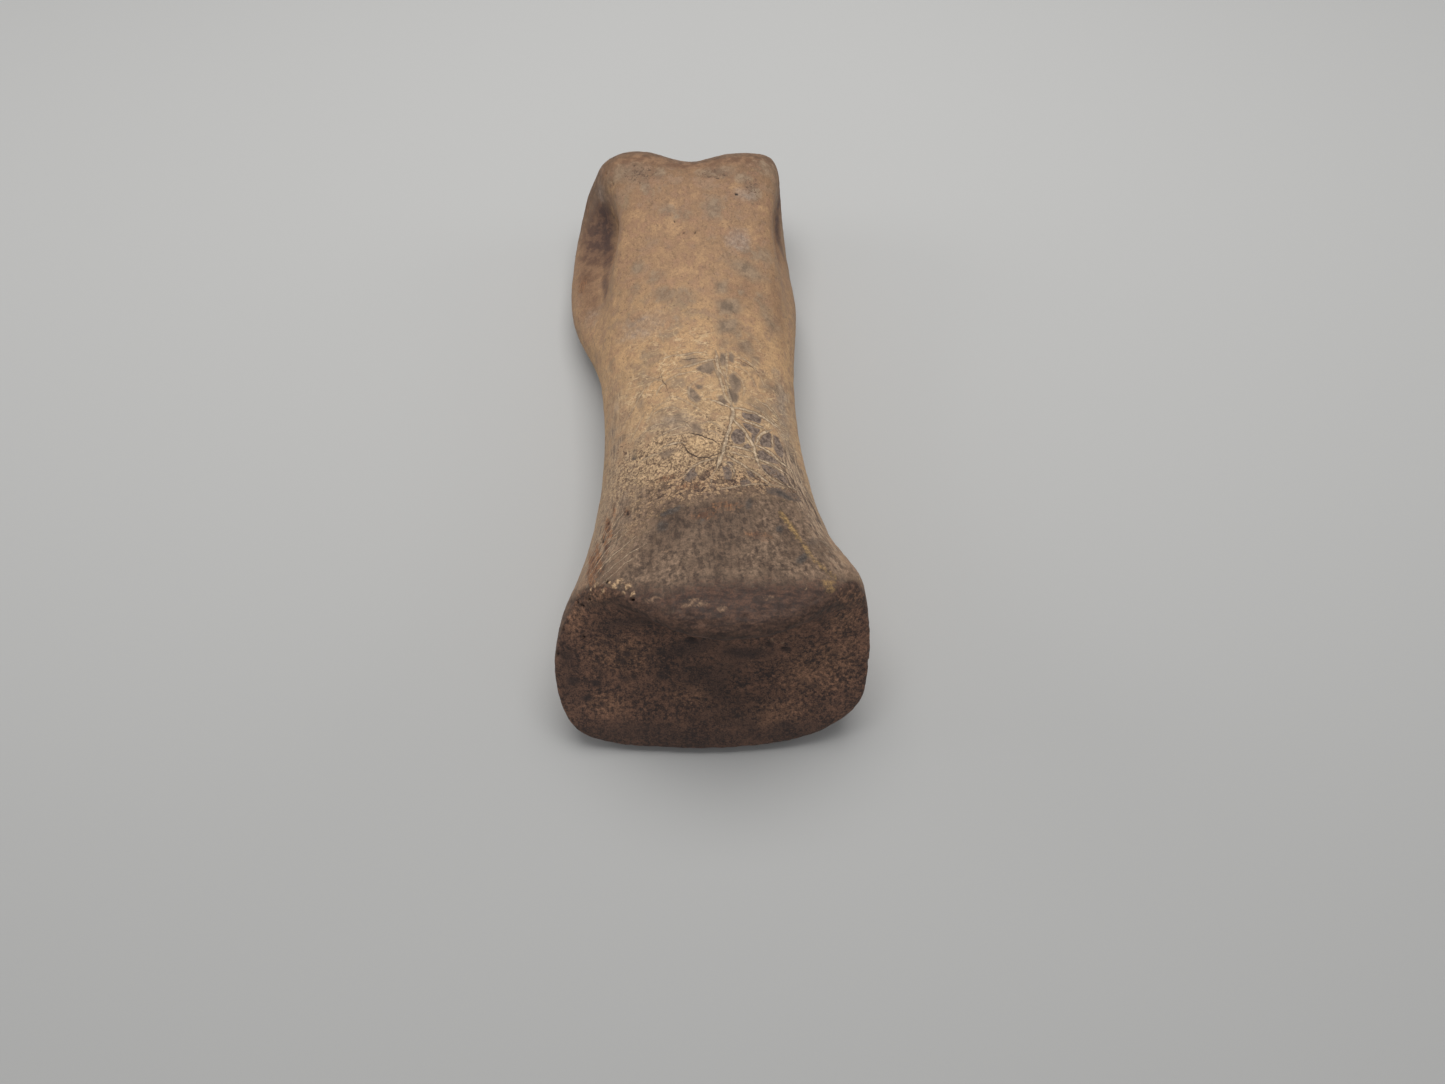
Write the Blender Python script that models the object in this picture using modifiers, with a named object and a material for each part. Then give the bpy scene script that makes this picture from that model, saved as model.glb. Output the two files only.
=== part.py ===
"""Fossil dinosaur toe bone: the first long bone of a foot toe, lying on its underside.

Metres, +Z up. The bone lies along Y, with its hollowed near joint at -Y and its
pulley-shaped far joint at +Y. Its back faces up. The origin is the middle of its
footprint, on the surface it rests on.
"""

import math
from collections import namedtuple

import bmesh
import bpy
from mathutils import Vector

# Cage: cells across, and from underside to back; the sections below give those along
CELLS_ACROSS = 6
CELLS_UP = 4
SUBDIVISIONS = 2
RIM_CREASE = {"lip": 0.2, "side": 0.5, "underside": 0.1}

# Fossil bone, one plain finish here
BONE_COLOUR = (0.33, 0.22, 0.13, 1.0)
BONE_ROUGHNESS = 0.7

# One cross-section of the cage. left and right are half-widths at the underside, at
# mid-height and at the back. under is the height of the underside in the middle, and how
# far it rises to the left and the right edge. back is the height of the back in the
# middle, and how far it falls to the left and the right edge.
Section = namedtuple("Section", "along left right under back")
SECTIONS = (
    Section(0.0000, (0.0142, 0.0156, 0.0110), (0.0152, 0.0162, 0.0145),
            (0.0008, 0.0014, 0.0034), (0.0199, 0.0034, 0.0019)),
    Section(0.0022, (0.0143, 0.0157, 0.0115), (0.0154, 0.0164, 0.0148),
            (-0.0006, 0.0014, 0.0033), (0.0213, 0.0044, 0.0030)),
    Section(0.0064, (0.0137, 0.0145, 0.0108), (0.0144, 0.0154, 0.0138),
            (-0.0004, 0.0012, 0.0020), (0.0210, 0.0050, 0.0040)),
    Section(0.0130, (0.0118, 0.0129, 0.0101), (0.0122, 0.0138, 0.0122),
            (0.0004, 0.0018, 0.0022), (0.0191, 0.0050, 0.0048)),
    Section(0.0210, (0.0100, 0.0117, 0.0092), (0.0106, 0.0127, 0.0110),
            (0.0016, 0.0020, 0.0022), (0.0170, 0.0044, 0.0044)),
    Section(0.0300, (0.0092, 0.0108, 0.0084), (0.0096, 0.0117, 0.0097),
            (0.0024, 0.0018, 0.0020), (0.0154, 0.0034, 0.0036)),
    Section(0.0390, (0.0094, 0.0109, 0.0086), (0.0096, 0.0115, 0.0095),
            (0.0024, 0.0014, 0.0016), (0.0148, 0.0028, 0.0030)),
    Section(0.0465, (0.0112, 0.0118, 0.0089), (0.0108, 0.0122, 0.0100),
            (0.0016, 0.0012, 0.0012), (0.0148, 0.0024, 0.0026)),
    Section(0.0530, (0.0146, 0.0146, 0.0093), (0.0126, 0.0132, 0.0104),
            (0.0004, 0.0012, 0.0010), (0.0152, 0.0020, 0.0024)),
    Section(0.0600, (0.0158, 0.0156, 0.0094), (0.0130, 0.0133, 0.0105),
            (-0.0004, 0.0012, 0.0008), (0.0158, 0.0016, 0.0020)),
    Section(0.0675, (0.0151, 0.0156, 0.0104), (0.0126, 0.0131, 0.0112),
            (-0.0006, 0.0010, 0.0008), (0.0168, 0.0014, 0.0014)),
    Section(0.0730, (0.0144, 0.0150, 0.0115), (0.0124, 0.0130, 0.0118),
            (-0.0006, 0.0010, 0.0010), (0.0174, 0.0012, 0.0010)),
    Section(0.0774, (0.0136, 0.0142, 0.0119), (0.0122, 0.0129, 0.0120),
            (-0.0006, 0.0012, 0.0012), (0.0174, 0.0012, 0.0010)),
)
BONE_LENGTH = SECTIONS[-1].along

# Near joint: how far its face lies behind the underside's edge, from the underside through
# mid-height to the back, in the middle and at each side; and how far right the lip is fullest
FACE_MIDDLE = (-0.0015, 0.0058, 0.0031)
FACE_LEFT = (0.0006, 0.0068, 0.0116)
FACE_RIGHT = (0.0010, 0.0062, 0.0104)
FACE_SPREAD_LEFT = 2.2
FACE_SPREAD_RIGHT = 3.0
LIP_SKEW = 0.2
NEAR_END_LENGTH = 0.0300

# Far joint: where its roll starts, the height of the roll's axis, and how far its edges
# round off, towards back and underside and towards the sides
PULLEY_START = 0.0680
PULLEY_AXIS_HEIGHT = 0.0082
PULLEY_ROUNDING = 1.0
PULLEY_SIDE_ROUNDING = 0.35

# Hollows and swellings worked into the smooth skin: middle, reach and push of each
Stroke = namedtuple("Stroke", "name middle reach push")
STROKES = (
    Stroke("left ligament pit", (-0.0132, 0.0650, 0.0104),
           (0.0068, 0.0060, 0.0040), (0.0050, 0.0, -0.0016)),
    Stroke("left pit tail", (-0.0128, 0.0560, 0.0096),
           (0.0050, 0.0060, 0.0030), (0.0020, 0.0, -0.0010)),
    Stroke("right ligament pit", (0.0130, 0.0640, 0.0094),
           (0.0060, 0.0050, 0.0034), (-0.0028, 0.0, 0.0)),
    Stroke("right pit tail", (0.0125, 0.0560, 0.0096),
           (0.0050, 0.0050, 0.0026), (-0.0008, 0.0, 0.0)),
    Stroke("hollow behind the pulley", (0.0006, 0.0605, 0.0160),
           (0.0060, 0.0055, 0.0040), (0.0, 0.0, -0.0005)),
    Stroke("left wheel of the pulley", (-0.0070, 0.0740, 0.0150),
           (0.0040, 0.0050, 0.0050), (-0.0002, 0.0002, 0.0006)),
    Stroke("left wheel, worn corner", (-0.0135, 0.0760, 0.0130),
           (0.0028, 0.0036, 0.0044), (0.0002, -0.0006, -0.0002)),
    Stroke("pulley groove, back", (0.0006, 0.0745, 0.0160),
           (0.0042, 0.0055, 0.0050), (0.0, -0.0004, -0.0014)),
    Stroke("pulley groove, end", (0.0006, 0.0780, 0.0080),
           (0.0042, 0.0050, 0.0065), (0.0, -0.0016, 0.0)),
    Stroke("pulley groove, underside", (0.0006, 0.0700, 0.0000),
           (0.0046, 0.0090, 0.0050), (0.0, 0.0, 0.0028)),
    Stroke("tendon bed, near underside", (0.0000, 0.0080, 0.0000),
           (0.0050, 0.0080, 0.0030), (0.0, 0.0, 0.0012)),
    Stroke("left heel swelling", (-0.0100, 0.0075, 0.0008),
           (0.0040, 0.0065, 0.0040), (-0.0002, 0.0, -0.0006)),
    Stroke("right heel swelling", (0.0100, 0.0075, 0.0012),
           (0.0040, 0.0065, 0.0040), (0.0002, 0.0, -0.0011)),
    Stroke("left wheel, underside", (-0.0085, 0.0660, 0.0004),
           (0.0042, 0.0075, 0.0040), (0.0, 0.0, -0.0005)),
    Stroke("right wheel, underside", (0.0080, 0.0665, 0.0006),
           (0.0042, 0.0075, 0.0040), (0.0, 0.0, -0.0009)),
    Stroke("hollow under the lip, left", (-0.0045, 0.0062, 0.0150),
           (0.0075, 0.0040, 0.0034), (0.0, 0.0018, 0.0)),
    Stroke("hollow under the lip, right", (0.0060, 0.0058, 0.0158),
           (0.0060, 0.0040, 0.0030), (0.0, 0.0012, 0.0)),
    Stroke("edge of the lip", (0.0036, 0.0036, 0.0190),
           (0.0085, 0.0016, 0.0012), (0.0, -0.0003, -0.0003)),
    Stroke("hollow behind the lip", (0.0020, 0.0135, 0.0200),
           (0.0090, 0.0045, 0.0040), (0.0, 0.0, -0.0003)),
    Stroke("left corner knob", (-0.0095, 0.0100, 0.0165),
           (0.0030, 0.0030, 0.0030), (-0.0002, -0.0001, 0.0006)),
    Stroke("right corner knob", (0.0142, 0.0102, 0.0165),
           (0.0022, 0.0026, 0.0030), (0.0, -0.0001, 0.0006)),
)


def between(low, middle, high, share):
    """A smooth curve through three values, at share -1, 0 and 1."""
    return middle + (high - low) / 2 * share + ((high + low) / 2 - middle) * share * share


def skewed(across, skew):
    """Across, from -1 to 1, with its middle moved to skew."""
    return (across - skew) / (1 + skew) if across < skew else (across - skew) / (1 - skew)


def joint_face(across, up):
    """How far behind the underside's edge the near joint's face lies."""
    across = skewed(across, LIP_SKEW)
    middle = between(*FACE_MIDDLE, up)
    if across < 0:
        return middle + (between(*FACE_LEFT, up) - middle) * (-across) ** FACE_SPREAD_LEFT
    return middle + (between(*FACE_RIGHT, up) - middle) * across ** FACE_SPREAD_RIGHT


def rolled(point, across, up, roll):
    """A point of the far joint, moved onto the pulley's roll."""
    x, y, z = point
    side_rounding = math.sqrt(1 - PULLEY_SIDE_ROUNDING * across * across / 2)
    reach = math.sqrt(1 - PULLEY_ROUNDING * up * up / 2) * side_rounding
    level = math.sqrt(1 - PULLEY_ROUNDING * roll * roll / 2)
    x *= math.sqrt(1 - PULLEY_SIDE_ROUNDING * roll * roll / 2)
    y = PULLEY_START + (y - PULLEY_START) * reach
    z = PULLEY_AXIS_HEIGHT + (z - PULLEY_AXIS_HEIGHT) * level
    return x, y, z


def place(section, across, up):
    """The point of a cross-section for across and up, each from -1 to 1."""
    near = max(0.0, 1 - section.along / NEAR_END_LENGTH)
    from_crest = skewed(across, LIP_SKEW * near)
    under, rise_left, rise_right = section.under
    back, fall_left, fall_right = section.back
    under += (rise_left if across < 0 else rise_right) * across ** 2
    back -= (fall_left if from_crest < 0 else fall_right) * from_crest ** 2
    x = across * between(*(section.left if across < 0 else section.right), up)
    y = section.along + joint_face(across, up) * near
    z = under + (back - under) * (up + 1) / 2
    if section.along <= PULLEY_START:
        return Vector((x, y, z))
    roll = (section.along - PULLEY_START) / (BONE_LENGTH - PULLEY_START)
    return Vector(rolled((x, y, z), across, up, roll))


def edges_along(bm, axis):
    """The edges that run along one axis of an upright block."""
    found = []
    for edge in bm.edges:
        run = edge.verts[1].co - edge.verts[0].co
        if abs(run[axis]) > 0.5 * run.length:
            found.append(edge)
    return found


def crease_near_rim(bm):
    """Keeps the rim of the near joint crisper than the rest of the skin, and its lip softer."""
    crease = bm.edges.layers.float.new("crease_edge")
    for edge in bm.edges:
        if any(vert.co.y > -0.99 for vert in edge.verts):
            continue
        if all(vert.co.z > 0.99 for vert in edge.verts):
            edge[crease] = RIM_CREASE["lip"]
        elif all(vert.co.z < -0.99 for vert in edge.verts):
            edge[crease] = RIM_CREASE["underside"]
        elif all(abs(vert.co.x) > 0.99 for vert in edge.verts):
            edge[crease] = RIM_CREASE["side"]


def make_cage():
    """A gridded block whose layers become the cross-sections."""
    bm = bmesh.new()
    bmesh.ops.create_cube(bm, size=2.0)
    last = len(SECTIONS) - 1
    for axis, cells in enumerate((CELLS_ACROSS, last, CELLS_UP)):
        bmesh.ops.subdivide_edges(bm, edges=edges_along(bm, axis), cuts=cells - 1, use_grid_fill=True)
    crease_near_rim(bm)
    for vert in bm.verts:
        across, along, up = vert.co
        vert.co = place(SECTIONS[round((along + 1) / 2 * last)], across, up)
    cage = bpy.data.meshes.new("toe_bone_cage")
    bm.to_mesh(cage)
    bm.free()
    return cage


def smooth_skin(cage):
    """The cage's smooth skin, as a mesh of its own."""
    holder = bpy.data.objects.new("toe_bone_cage", cage)
    bpy.context.scene.collection.objects.link(holder)
    smooth = holder.modifiers.new("smooth", "SUBSURF")
    smooth.levels = smooth.render_levels = SUBDIVISIONS
    graph = bpy.context.evaluated_depsgraph_get()
    skin = bpy.data.meshes.new_from_object(holder.evaluated_get(graph))
    bpy.data.objects.remove(holder)
    return skin


def work_strokes(skin):
    """Pushes the skin in or out round each stroke's middle, fading away from it."""
    for vert in skin.vertices:
        moved = vert.co.copy()
        for stroke in STROKES:
            away = [(vert.co[i] - stroke.middle[i]) / stroke.reach[i] for i in range(3)]
            moved += Vector(stroke.push) * math.exp(-sum(a * a for a in away))
        vert.co = moved


def set_down(skin):
    """Wears the lowest places flat, and moves the middle of the footprint to the origin."""
    for vert in skin.vertices:
        vert.co.z = max(vert.co.z, 0.0)
    xs = [vert.co.x for vert in skin.vertices]
    ys = [vert.co.y for vert in skin.vertices]
    middle = Vector(((max(xs) + min(xs)) / 2, (max(ys) + min(ys)) / 2, 0.0))
    for vert in skin.vertices:
        vert.co -= middle


def bone_material():
    material = bpy.data.materials.new("fossil_bone")
    material.use_nodes = True
    shader = material.node_tree.nodes["Principled BSDF"]
    shader.inputs["Base Color"].default_value = BONE_COLOUR
    shader.inputs["Roughness"].default_value = BONE_ROUGHNESS
    shader.inputs["Metallic"].default_value = 0.0
    return material


def main():
    for obj in list(bpy.data.objects):
        bpy.data.objects.remove(obj)
    parts = bpy.data.collections.new("fossil_toe_bone")
    bpy.context.scene.collection.children.link(parts)

    skin = smooth_skin(make_cage())
    work_strokes(skin)
    set_down(skin)
    skin.shade_smooth()
    skin.materials.append(bone_material())
    parts.objects.link(bpy.data.objects.new("toe_bone", skin))


main()
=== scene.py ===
"""Looks of a fossil dinosaur toe bone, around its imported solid.

Metres, +Z up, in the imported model's frame: the bone lies along Y, its hollowed near joint
at -Y, its pulley-shaped far joint at +Y, its back up. One piece, bone, stands for the
solid: a finer copy of its surface, with the fossil's grain, chips, pits, root traces and
stains. Places of the markings are points of the photograph, cast onto the bone.
"""

import math
from collections import namedtuple

import bmesh
import bpy
import numpy as np
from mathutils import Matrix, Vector, noise
from mathutils.bvhtree import BVHTree
from mathutils.kdtree import KDTree


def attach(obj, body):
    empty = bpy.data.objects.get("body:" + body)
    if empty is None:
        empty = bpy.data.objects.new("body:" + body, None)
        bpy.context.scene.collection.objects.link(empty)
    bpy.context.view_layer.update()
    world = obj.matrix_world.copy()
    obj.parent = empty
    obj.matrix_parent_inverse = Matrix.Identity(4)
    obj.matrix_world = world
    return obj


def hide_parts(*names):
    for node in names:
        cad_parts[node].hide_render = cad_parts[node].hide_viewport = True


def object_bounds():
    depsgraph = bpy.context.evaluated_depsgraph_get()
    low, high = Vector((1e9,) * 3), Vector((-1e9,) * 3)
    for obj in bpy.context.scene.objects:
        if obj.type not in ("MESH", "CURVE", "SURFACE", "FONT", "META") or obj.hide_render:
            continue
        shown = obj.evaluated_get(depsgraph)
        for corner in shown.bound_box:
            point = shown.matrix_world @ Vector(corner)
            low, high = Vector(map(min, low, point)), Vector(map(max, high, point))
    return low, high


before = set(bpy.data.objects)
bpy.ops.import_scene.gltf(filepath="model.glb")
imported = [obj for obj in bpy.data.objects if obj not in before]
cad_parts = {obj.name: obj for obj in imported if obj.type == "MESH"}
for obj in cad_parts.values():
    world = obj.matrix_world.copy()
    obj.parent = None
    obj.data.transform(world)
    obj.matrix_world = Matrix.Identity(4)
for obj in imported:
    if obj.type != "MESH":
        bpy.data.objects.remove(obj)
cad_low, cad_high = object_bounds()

MM = 0.001

# The photograph's camera: its frame in pixels, then its place and the way it looks
PHOTO_WIDTH = 1445
PHOTO_HEIGHT = 1084
FOCAL_PIXELS = 1002
SENSOR_WIDTH = 36.0
CAMERA_PLACE = Vector((-0.66 * MM, -70.45 * MM, 102.84 * MM))
CAMERA_DOWN = math.radians(61.0)
CAMERA_TURN = math.radians(-2.8)
CLIP_START = 5 * MM
CLIP_END = 10

# Skin: how finely the bone's surface is divided, and the patches divided once more
MERGE_DISTANCE = 0.001 * MM
QUAD_FACE_ANGLE = math.radians(60)
QUAD_SHAPE_ANGLE = math.radians(80)
SKIN_LEVELS = 2
Patch = namedtuple("Patch", "low high")
FINE_PATCHES = (
    Patch((-8.5 * MM, -15.5 * MM, 9 * MM), (8.8 * MM, 2.5 * MM, 30 * MM)),
    Patch((-14.0 * MM, -34.0 * MM, 12 * MM), (-3.0 * MM, -25.0 * MM, 30 * MM)),
    Patch((-4.0 * MM, -37.0 * MM, 14 * MM), (14.5 * MM, -31.5 * MM, 30 * MM)),
)

# The near end: where it fades into the shaft, and the lower edge of its lip, as heights
# at places across the bone, which fades over a height of its own
NEAR_END = (-27.0 * MM, -22.0 * MM)
LIP_FADE = (-0.7 * MM, 0.5 * MM)
LIP_ACROSS = (-15.0 * MM, -13.3 * MM, -11.0 * MM, -8.5 * MM, -5.5 * MM, -2.0 * MM, 2.0 * MM,
              6.0 * MM, 8.5 * MM, 11.0 * MM, 13.2 * MM, 15.0 * MM)
LIP_EDGE = (12.4 * MM, 13.8 * MM, 15.9 * MM, 17.2 * MM, 17.8 * MM, 18.3 * MM, 18.3 * MM,
            18.3 * MM, 17.9 * MM, 17.4 * MM, 16.5 * MM, 15.4 * MM)
# The far joint's surface begins between these places along the bone. Its darker tone is partly the joint's
# own brown and partly painted shade along the far rim
PULLEY_SURFACE = (29 * MM, 33 * MM)

# How a part's mark comes in as the surface turns towards the part's side: spans of the
# normal's share that way, and for the rim its middle and spread
LIP_FACING = (-0.05, 0.35)
JOINT_FACING = (0.10, 0.45)
RIM_FACING = (0.4, 0.3)
PULLEY_FACING = (-0.1, 0.5)
UNDERSIDE_FACING = (0.1, 0.7)
UNDERSIDE_STRENGTH = 0.5

# How far the near joint's dark stain runs out over the bone's sides, and how strong it is
RIM_STAIN = (0.4 * MM, 3.4 * MM)
RIM_STRENGTH = 0.9

# Fibres follow the bone's outline: it is cut across so many times, and each cut is drawn
# out to the same half width and height
FLOW_CUTS = 40
FLOW_HALF_WIDTH = 12 * MM
FLOW_HEIGHT = 14 * MM

# The grain is crisper on the near half, and eases between these places along the bone
CRISP = (-16 * MM, -6 * MM)

# Markings. Points are pixels of the photograph, across and down, and lengths are in
# millimetres. A line has a width, a region an outline and a soft edge, and a spot its
# reach across and up the photograph and its turn. Strength runs from 0 to 1.
Line = namedtuple("Line", "strength width points")
Region = namedtuple("Region", "strength soft points")
Spot = namedtuple("Spot", "strength across up turn point")


def spots(*rows):
    """Spots from rows of their strength, reach across and up, turn, and place across and down."""
    return tuple(Spot(*row[:4], row[4:]) for row in rows)


TRACES = (
    Line(0.6, 0.34, ((716, 352), (717, 361), (718, 369), (723, 375))),
    Line(0.5, 0.26, ((713, 366), (718, 372), (721, 381), (723, 390), (727, 398), (731, 406))),
    Line(0.5, 0.22, ((722, 366), (725, 376), (727, 386), (730, 396), (733, 406))),
    Line(0.4, 0.30, ((726, 352), (727, 361), (727, 370), (726, 377))),
    Line(0.9, 0.40, ((731, 404), (733, 410), (733, 417), (731, 424))),
    Line(0.9, 0.31, ((731, 422), (729, 430), (727, 437), (725, 444), (723, 451), (721, 458))),
    Line(0.8, 0.38, ((722, 453), (721, 458), (719, 463), (717, 468))),
    Line(0.9, 0.31, ((733, 419), (739, 425), (745, 431), (748, 437), (752, 442), (754, 448),
                     (755, 454), (757, 460), (759, 466))),
    Line(0.9, 0.26, ((733, 408), (740, 408), (747, 410), (754, 412), (761, 416), (768, 420),
                     (775, 425), (781, 432))),
    Line(1.0, 0.27, ((740, 418), (746, 421), (752, 424), (759, 426), (765, 429))),
    Line(0.9, 0.34, ((771, 430), (763, 433), (758, 437), (756, 444))),
    Line(0.9, 0.28, ((755, 445), (762, 448), (768, 451), (774, 455), (779, 460), (784, 464),
                     (790, 471))),
    Line(0.9, 0.20, ((773, 435), (772, 441), (773, 448))),
    Line(1.0, 0.28, ((757, 459), (763, 461), (770, 464), (777, 467), (785, 473))),
    Line(0.9, 0.25, ((727, 446), (734, 446), (741, 448), (748, 450), (755, 453))),
    Line(0.7, 0.22, ((728, 452), (736, 453), (744, 456), (753, 458))),
    Line(0.7, 0.26, ((726, 456), (734, 459), (741, 464), (748, 468), (756, 472), (762, 478),
                     (770, 483))),
    Line(0.6, 0.24, ((722, 461), (730, 464), (734, 470), (735, 476))),
    Line(0.6, 0.22, ((759, 465), (766, 473), (773, 480), (784, 485), (797, 490))),
    Line(0.4, 0.24, ((721, 489), (735, 487), (752, 484), (770, 484), (788, 488))),
    Line(0.9, 0.24, ((661, 450), (666, 446), (673, 443), (681, 443))),
    Line(0.6, 0.20, ((668, 436), (674, 434), (681, 434))),
    Line(0.6, 0.26, ((716, 359), (705, 361), (693, 365), (680, 368))),
    Line(0.8, 0.30, ((731, 408), (724, 405), (718, 402), (711, 400))),
    Line(0.3, 0.24, ((733, 371), (741, 377), (745, 388), (742, 398))),
    Line(0.7, 0.22, ((758, 401), (768, 407), (777, 416), (783, 427))),
    Line(0.6, 0.20, ((764, 412), (776, 424), (786, 436), (793, 448))),
    Line(0.3, 0.24, ((703, 378), (695, 381), (688, 388), (690, 398), (698, 404))),
    Line(0.6, 0.20, ((686, 426), (676, 428), (666, 432), (656, 438))),
    Line(0.5, 0.20, ((716, 458), (704, 461), (693, 466), (683, 477))),
    Line(0.6, 0.20, ((741, 358), (750, 363), (757, 369))),
    Line(0.6, 0.20, ((700, 352), (686, 355), (672, 356), (660, 360))),
    Line(0.5, 0.22, ((690, 372), (674, 376), (663, 384), (656, 396))),
    Line(0.3, 0.20, ((716, 468), (712, 476), (711, 486))),
    Line(0.6, 0.20, ((640, 462), (650, 456), (660, 453))),
    Line(0.5, 0.20, ((786, 462), (794, 474), (803, 487), (812, 500))),
    Line(0.5, 0.20, ((783, 446), (792, 460), (800, 474), (803, 488))),
    Line(0.45, 0.20, ((652, 416), (660, 410), (670, 407), (680, 410))),
    Line(0.50, 0.20, ((668, 424), (676, 421), (686, 423), (692, 430))),
    Line(0.40, 0.18, ((644, 426), (650, 416), (657, 407), (667, 401))),
    Line(0.45, 0.20, ((640, 437), (648, 429), (656, 424), (665, 423))),
    Line(0.35, 0.20, ((662, 399), (673, 396), (684, 400), (694, 406), (702, 413))),
    Line(0.35, 0.18, ((645, 375), (652, 378), (661, 380), (668, 385))),
    Line(0.35, 0.20, ((646, 393), (649, 385), (655, 378))),
    Line(0.50, 0.18, ((748, 403), (758, 408), (768, 418), (776, 429), (785, 442))),
    Line(0.45, 0.16, ((761, 396), (769, 404), (778, 415), (787, 430))),
    Line(0.30, 0.20, ((738, 366), (746, 371), (752, 379), (757, 390))),
    Line(0.30, 0.20, ((742, 357), (752, 366), (760, 376), (765, 388))),
    Line(0.35, 0.22, ((624, 424), (632, 410), (640, 397), (646, 385))),
    Line(0.35, 0.22, ((630, 442), (638, 426), (646, 411))),
    Line(0.45, 0.18, ((700, 424), (708, 421), (716, 424), (724, 430))),
    Line(0.45, 0.18, ((704, 434), (712, 430), (720, 436))),
    Line(0.60, 0.16, ((586, 588), (597, 574), (608, 561), (620, 549), (633, 538))),
    Line(0.50, 0.16, ((592, 588), (604, 576), (615, 565), (628, 554), (642, 546))),
    Line(0.55, 0.14, ((588, 578), (596, 566), (605, 553), (616, 541), (626, 532))),
    Line(0.40, 0.14, ((600, 586), (612, 576), (622, 566), (634, 557))),
    Line(0.50, 0.14, ((594, 562), (601, 551), (611, 539), (622, 528))),
    Line(0.45, 0.14, ((600, 548), (606, 536), (614, 524), (624, 512))),
)
CRACKS = (
    Line(1.0, 0.13, ((688, 433), (700, 435), (712, 439), (721, 446))),
    Line(1.0, 0.16, ((684, 446), (690, 453), (697, 457), (706, 458), (716, 455), (722, 452))),
    Line(0.6, 0.12, ((660, 371), (662, 381), (667, 386), (668, 392))),
    Line(0.5, 0.12, ((690, 437), (700, 434), (708, 437))),
    Line(0.9, 0.14, ((765, 470), (775, 478), (788, 487), (796, 494))),
    Line(0.8, 0.13, ((779, 464), (788, 474), (797, 486), (806, 498), (814, 512))),
    Line(0.7, 0.12, ((774, 470), (784, 482), (794, 496), (802, 508))),
    Line(0.9, 0.20, ((808, 498), (813, 508), (818, 519), (824, 530))),
    Line(0.7, 0.13, ((741, 361), (750, 366), (757, 371))),
    Line(0.7, 0.14, ((682, 361), (692, 359), (701, 358))),
    Line(0.8, 0.15, ((718, 452), (718, 459), (714, 466))),
    Line(0.7, 0.12, ((748, 471), (757, 479), (768, 486))),
    Line(0.6, 0.12, ((788, 440), (796, 454), (798, 470))),
    Line(0.5, 0.11, ((589, 588), (600, 575), (611, 563), (624, 552))),
    Line(0.6, 0.11, ((587, 583), (596, 571), (606, 558), (617, 546))),
    Line(0.5, 0.11, ((591, 571), (599, 559), (608, 547), (619, 536))),
    Line(0.4, 0.11, ((597, 588), (609, 576), (620, 566))),
)
CELLS = (
    Region(1.0, 0.8, ((743, 412), (750, 413), (757, 415), (762, 418), (760, 424), (754, 422),
                      (747, 419), (743, 417))),
    Region(1.0, 0.8, ((741, 421), (748, 424), (755, 427), (761, 429), (757, 435), (750, 432),
                      (745, 428))),
    Region(1.0, 0.8, ((752, 434), (757, 433), (755, 438), (754, 444), (751, 440))),
    Region(1.0, 0.8, ((732, 432), (736, 428), (742, 430), (746, 436), (745, 442), (740, 444),
                      (734, 443), (731, 438))),
    Region(1.0, 0.8, ((759, 441), (763, 436), (769, 432), (772, 434), (771, 441), (772, 448),
                      (766, 447), (760, 445))),
    Region(1.0, 0.8, ((774, 435), (779, 438), (781, 444), (784, 451), (783, 458), (777, 454),
                      (774, 448))),
    Region(1.0, 0.8, ((757, 450), (763, 450), (769, 454), (775, 458), (780, 463), (772, 463),
                      (764, 460), (758, 458))),
    Region(1.0, 0.8, ((760, 463), (768, 465), (777, 469), (785, 476), (789, 484), (781, 481),
                      (773, 476), (765, 472))),
    Region(1.0, 0.8, ((742, 446), (748, 443), (752, 448), (746, 449))),
    Region(0.9, 0.8, ((725, 460), (731, 461), (736, 465), (731, 466), (726, 464))),
    Region(1.0, 0.8, ((722, 467), (729, 465), (732, 473), (730, 480), (725, 479))),
    Region(1.0, 0.8, ((683, 480), (689, 471), (695, 467), (697, 476), (690, 482))),
    Region(1.0, 0.8, ((745, 469), (752, 471), (756, 477), (749, 476))),
    Region(0.9, 0.8, ((739, 480), (748, 478), (754, 484), (744, 488))),
    Region(1.0, 0.8, ((764, 486), (780, 488), (798, 495), (802, 503), (784, 499), (768, 493))),
)
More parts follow.
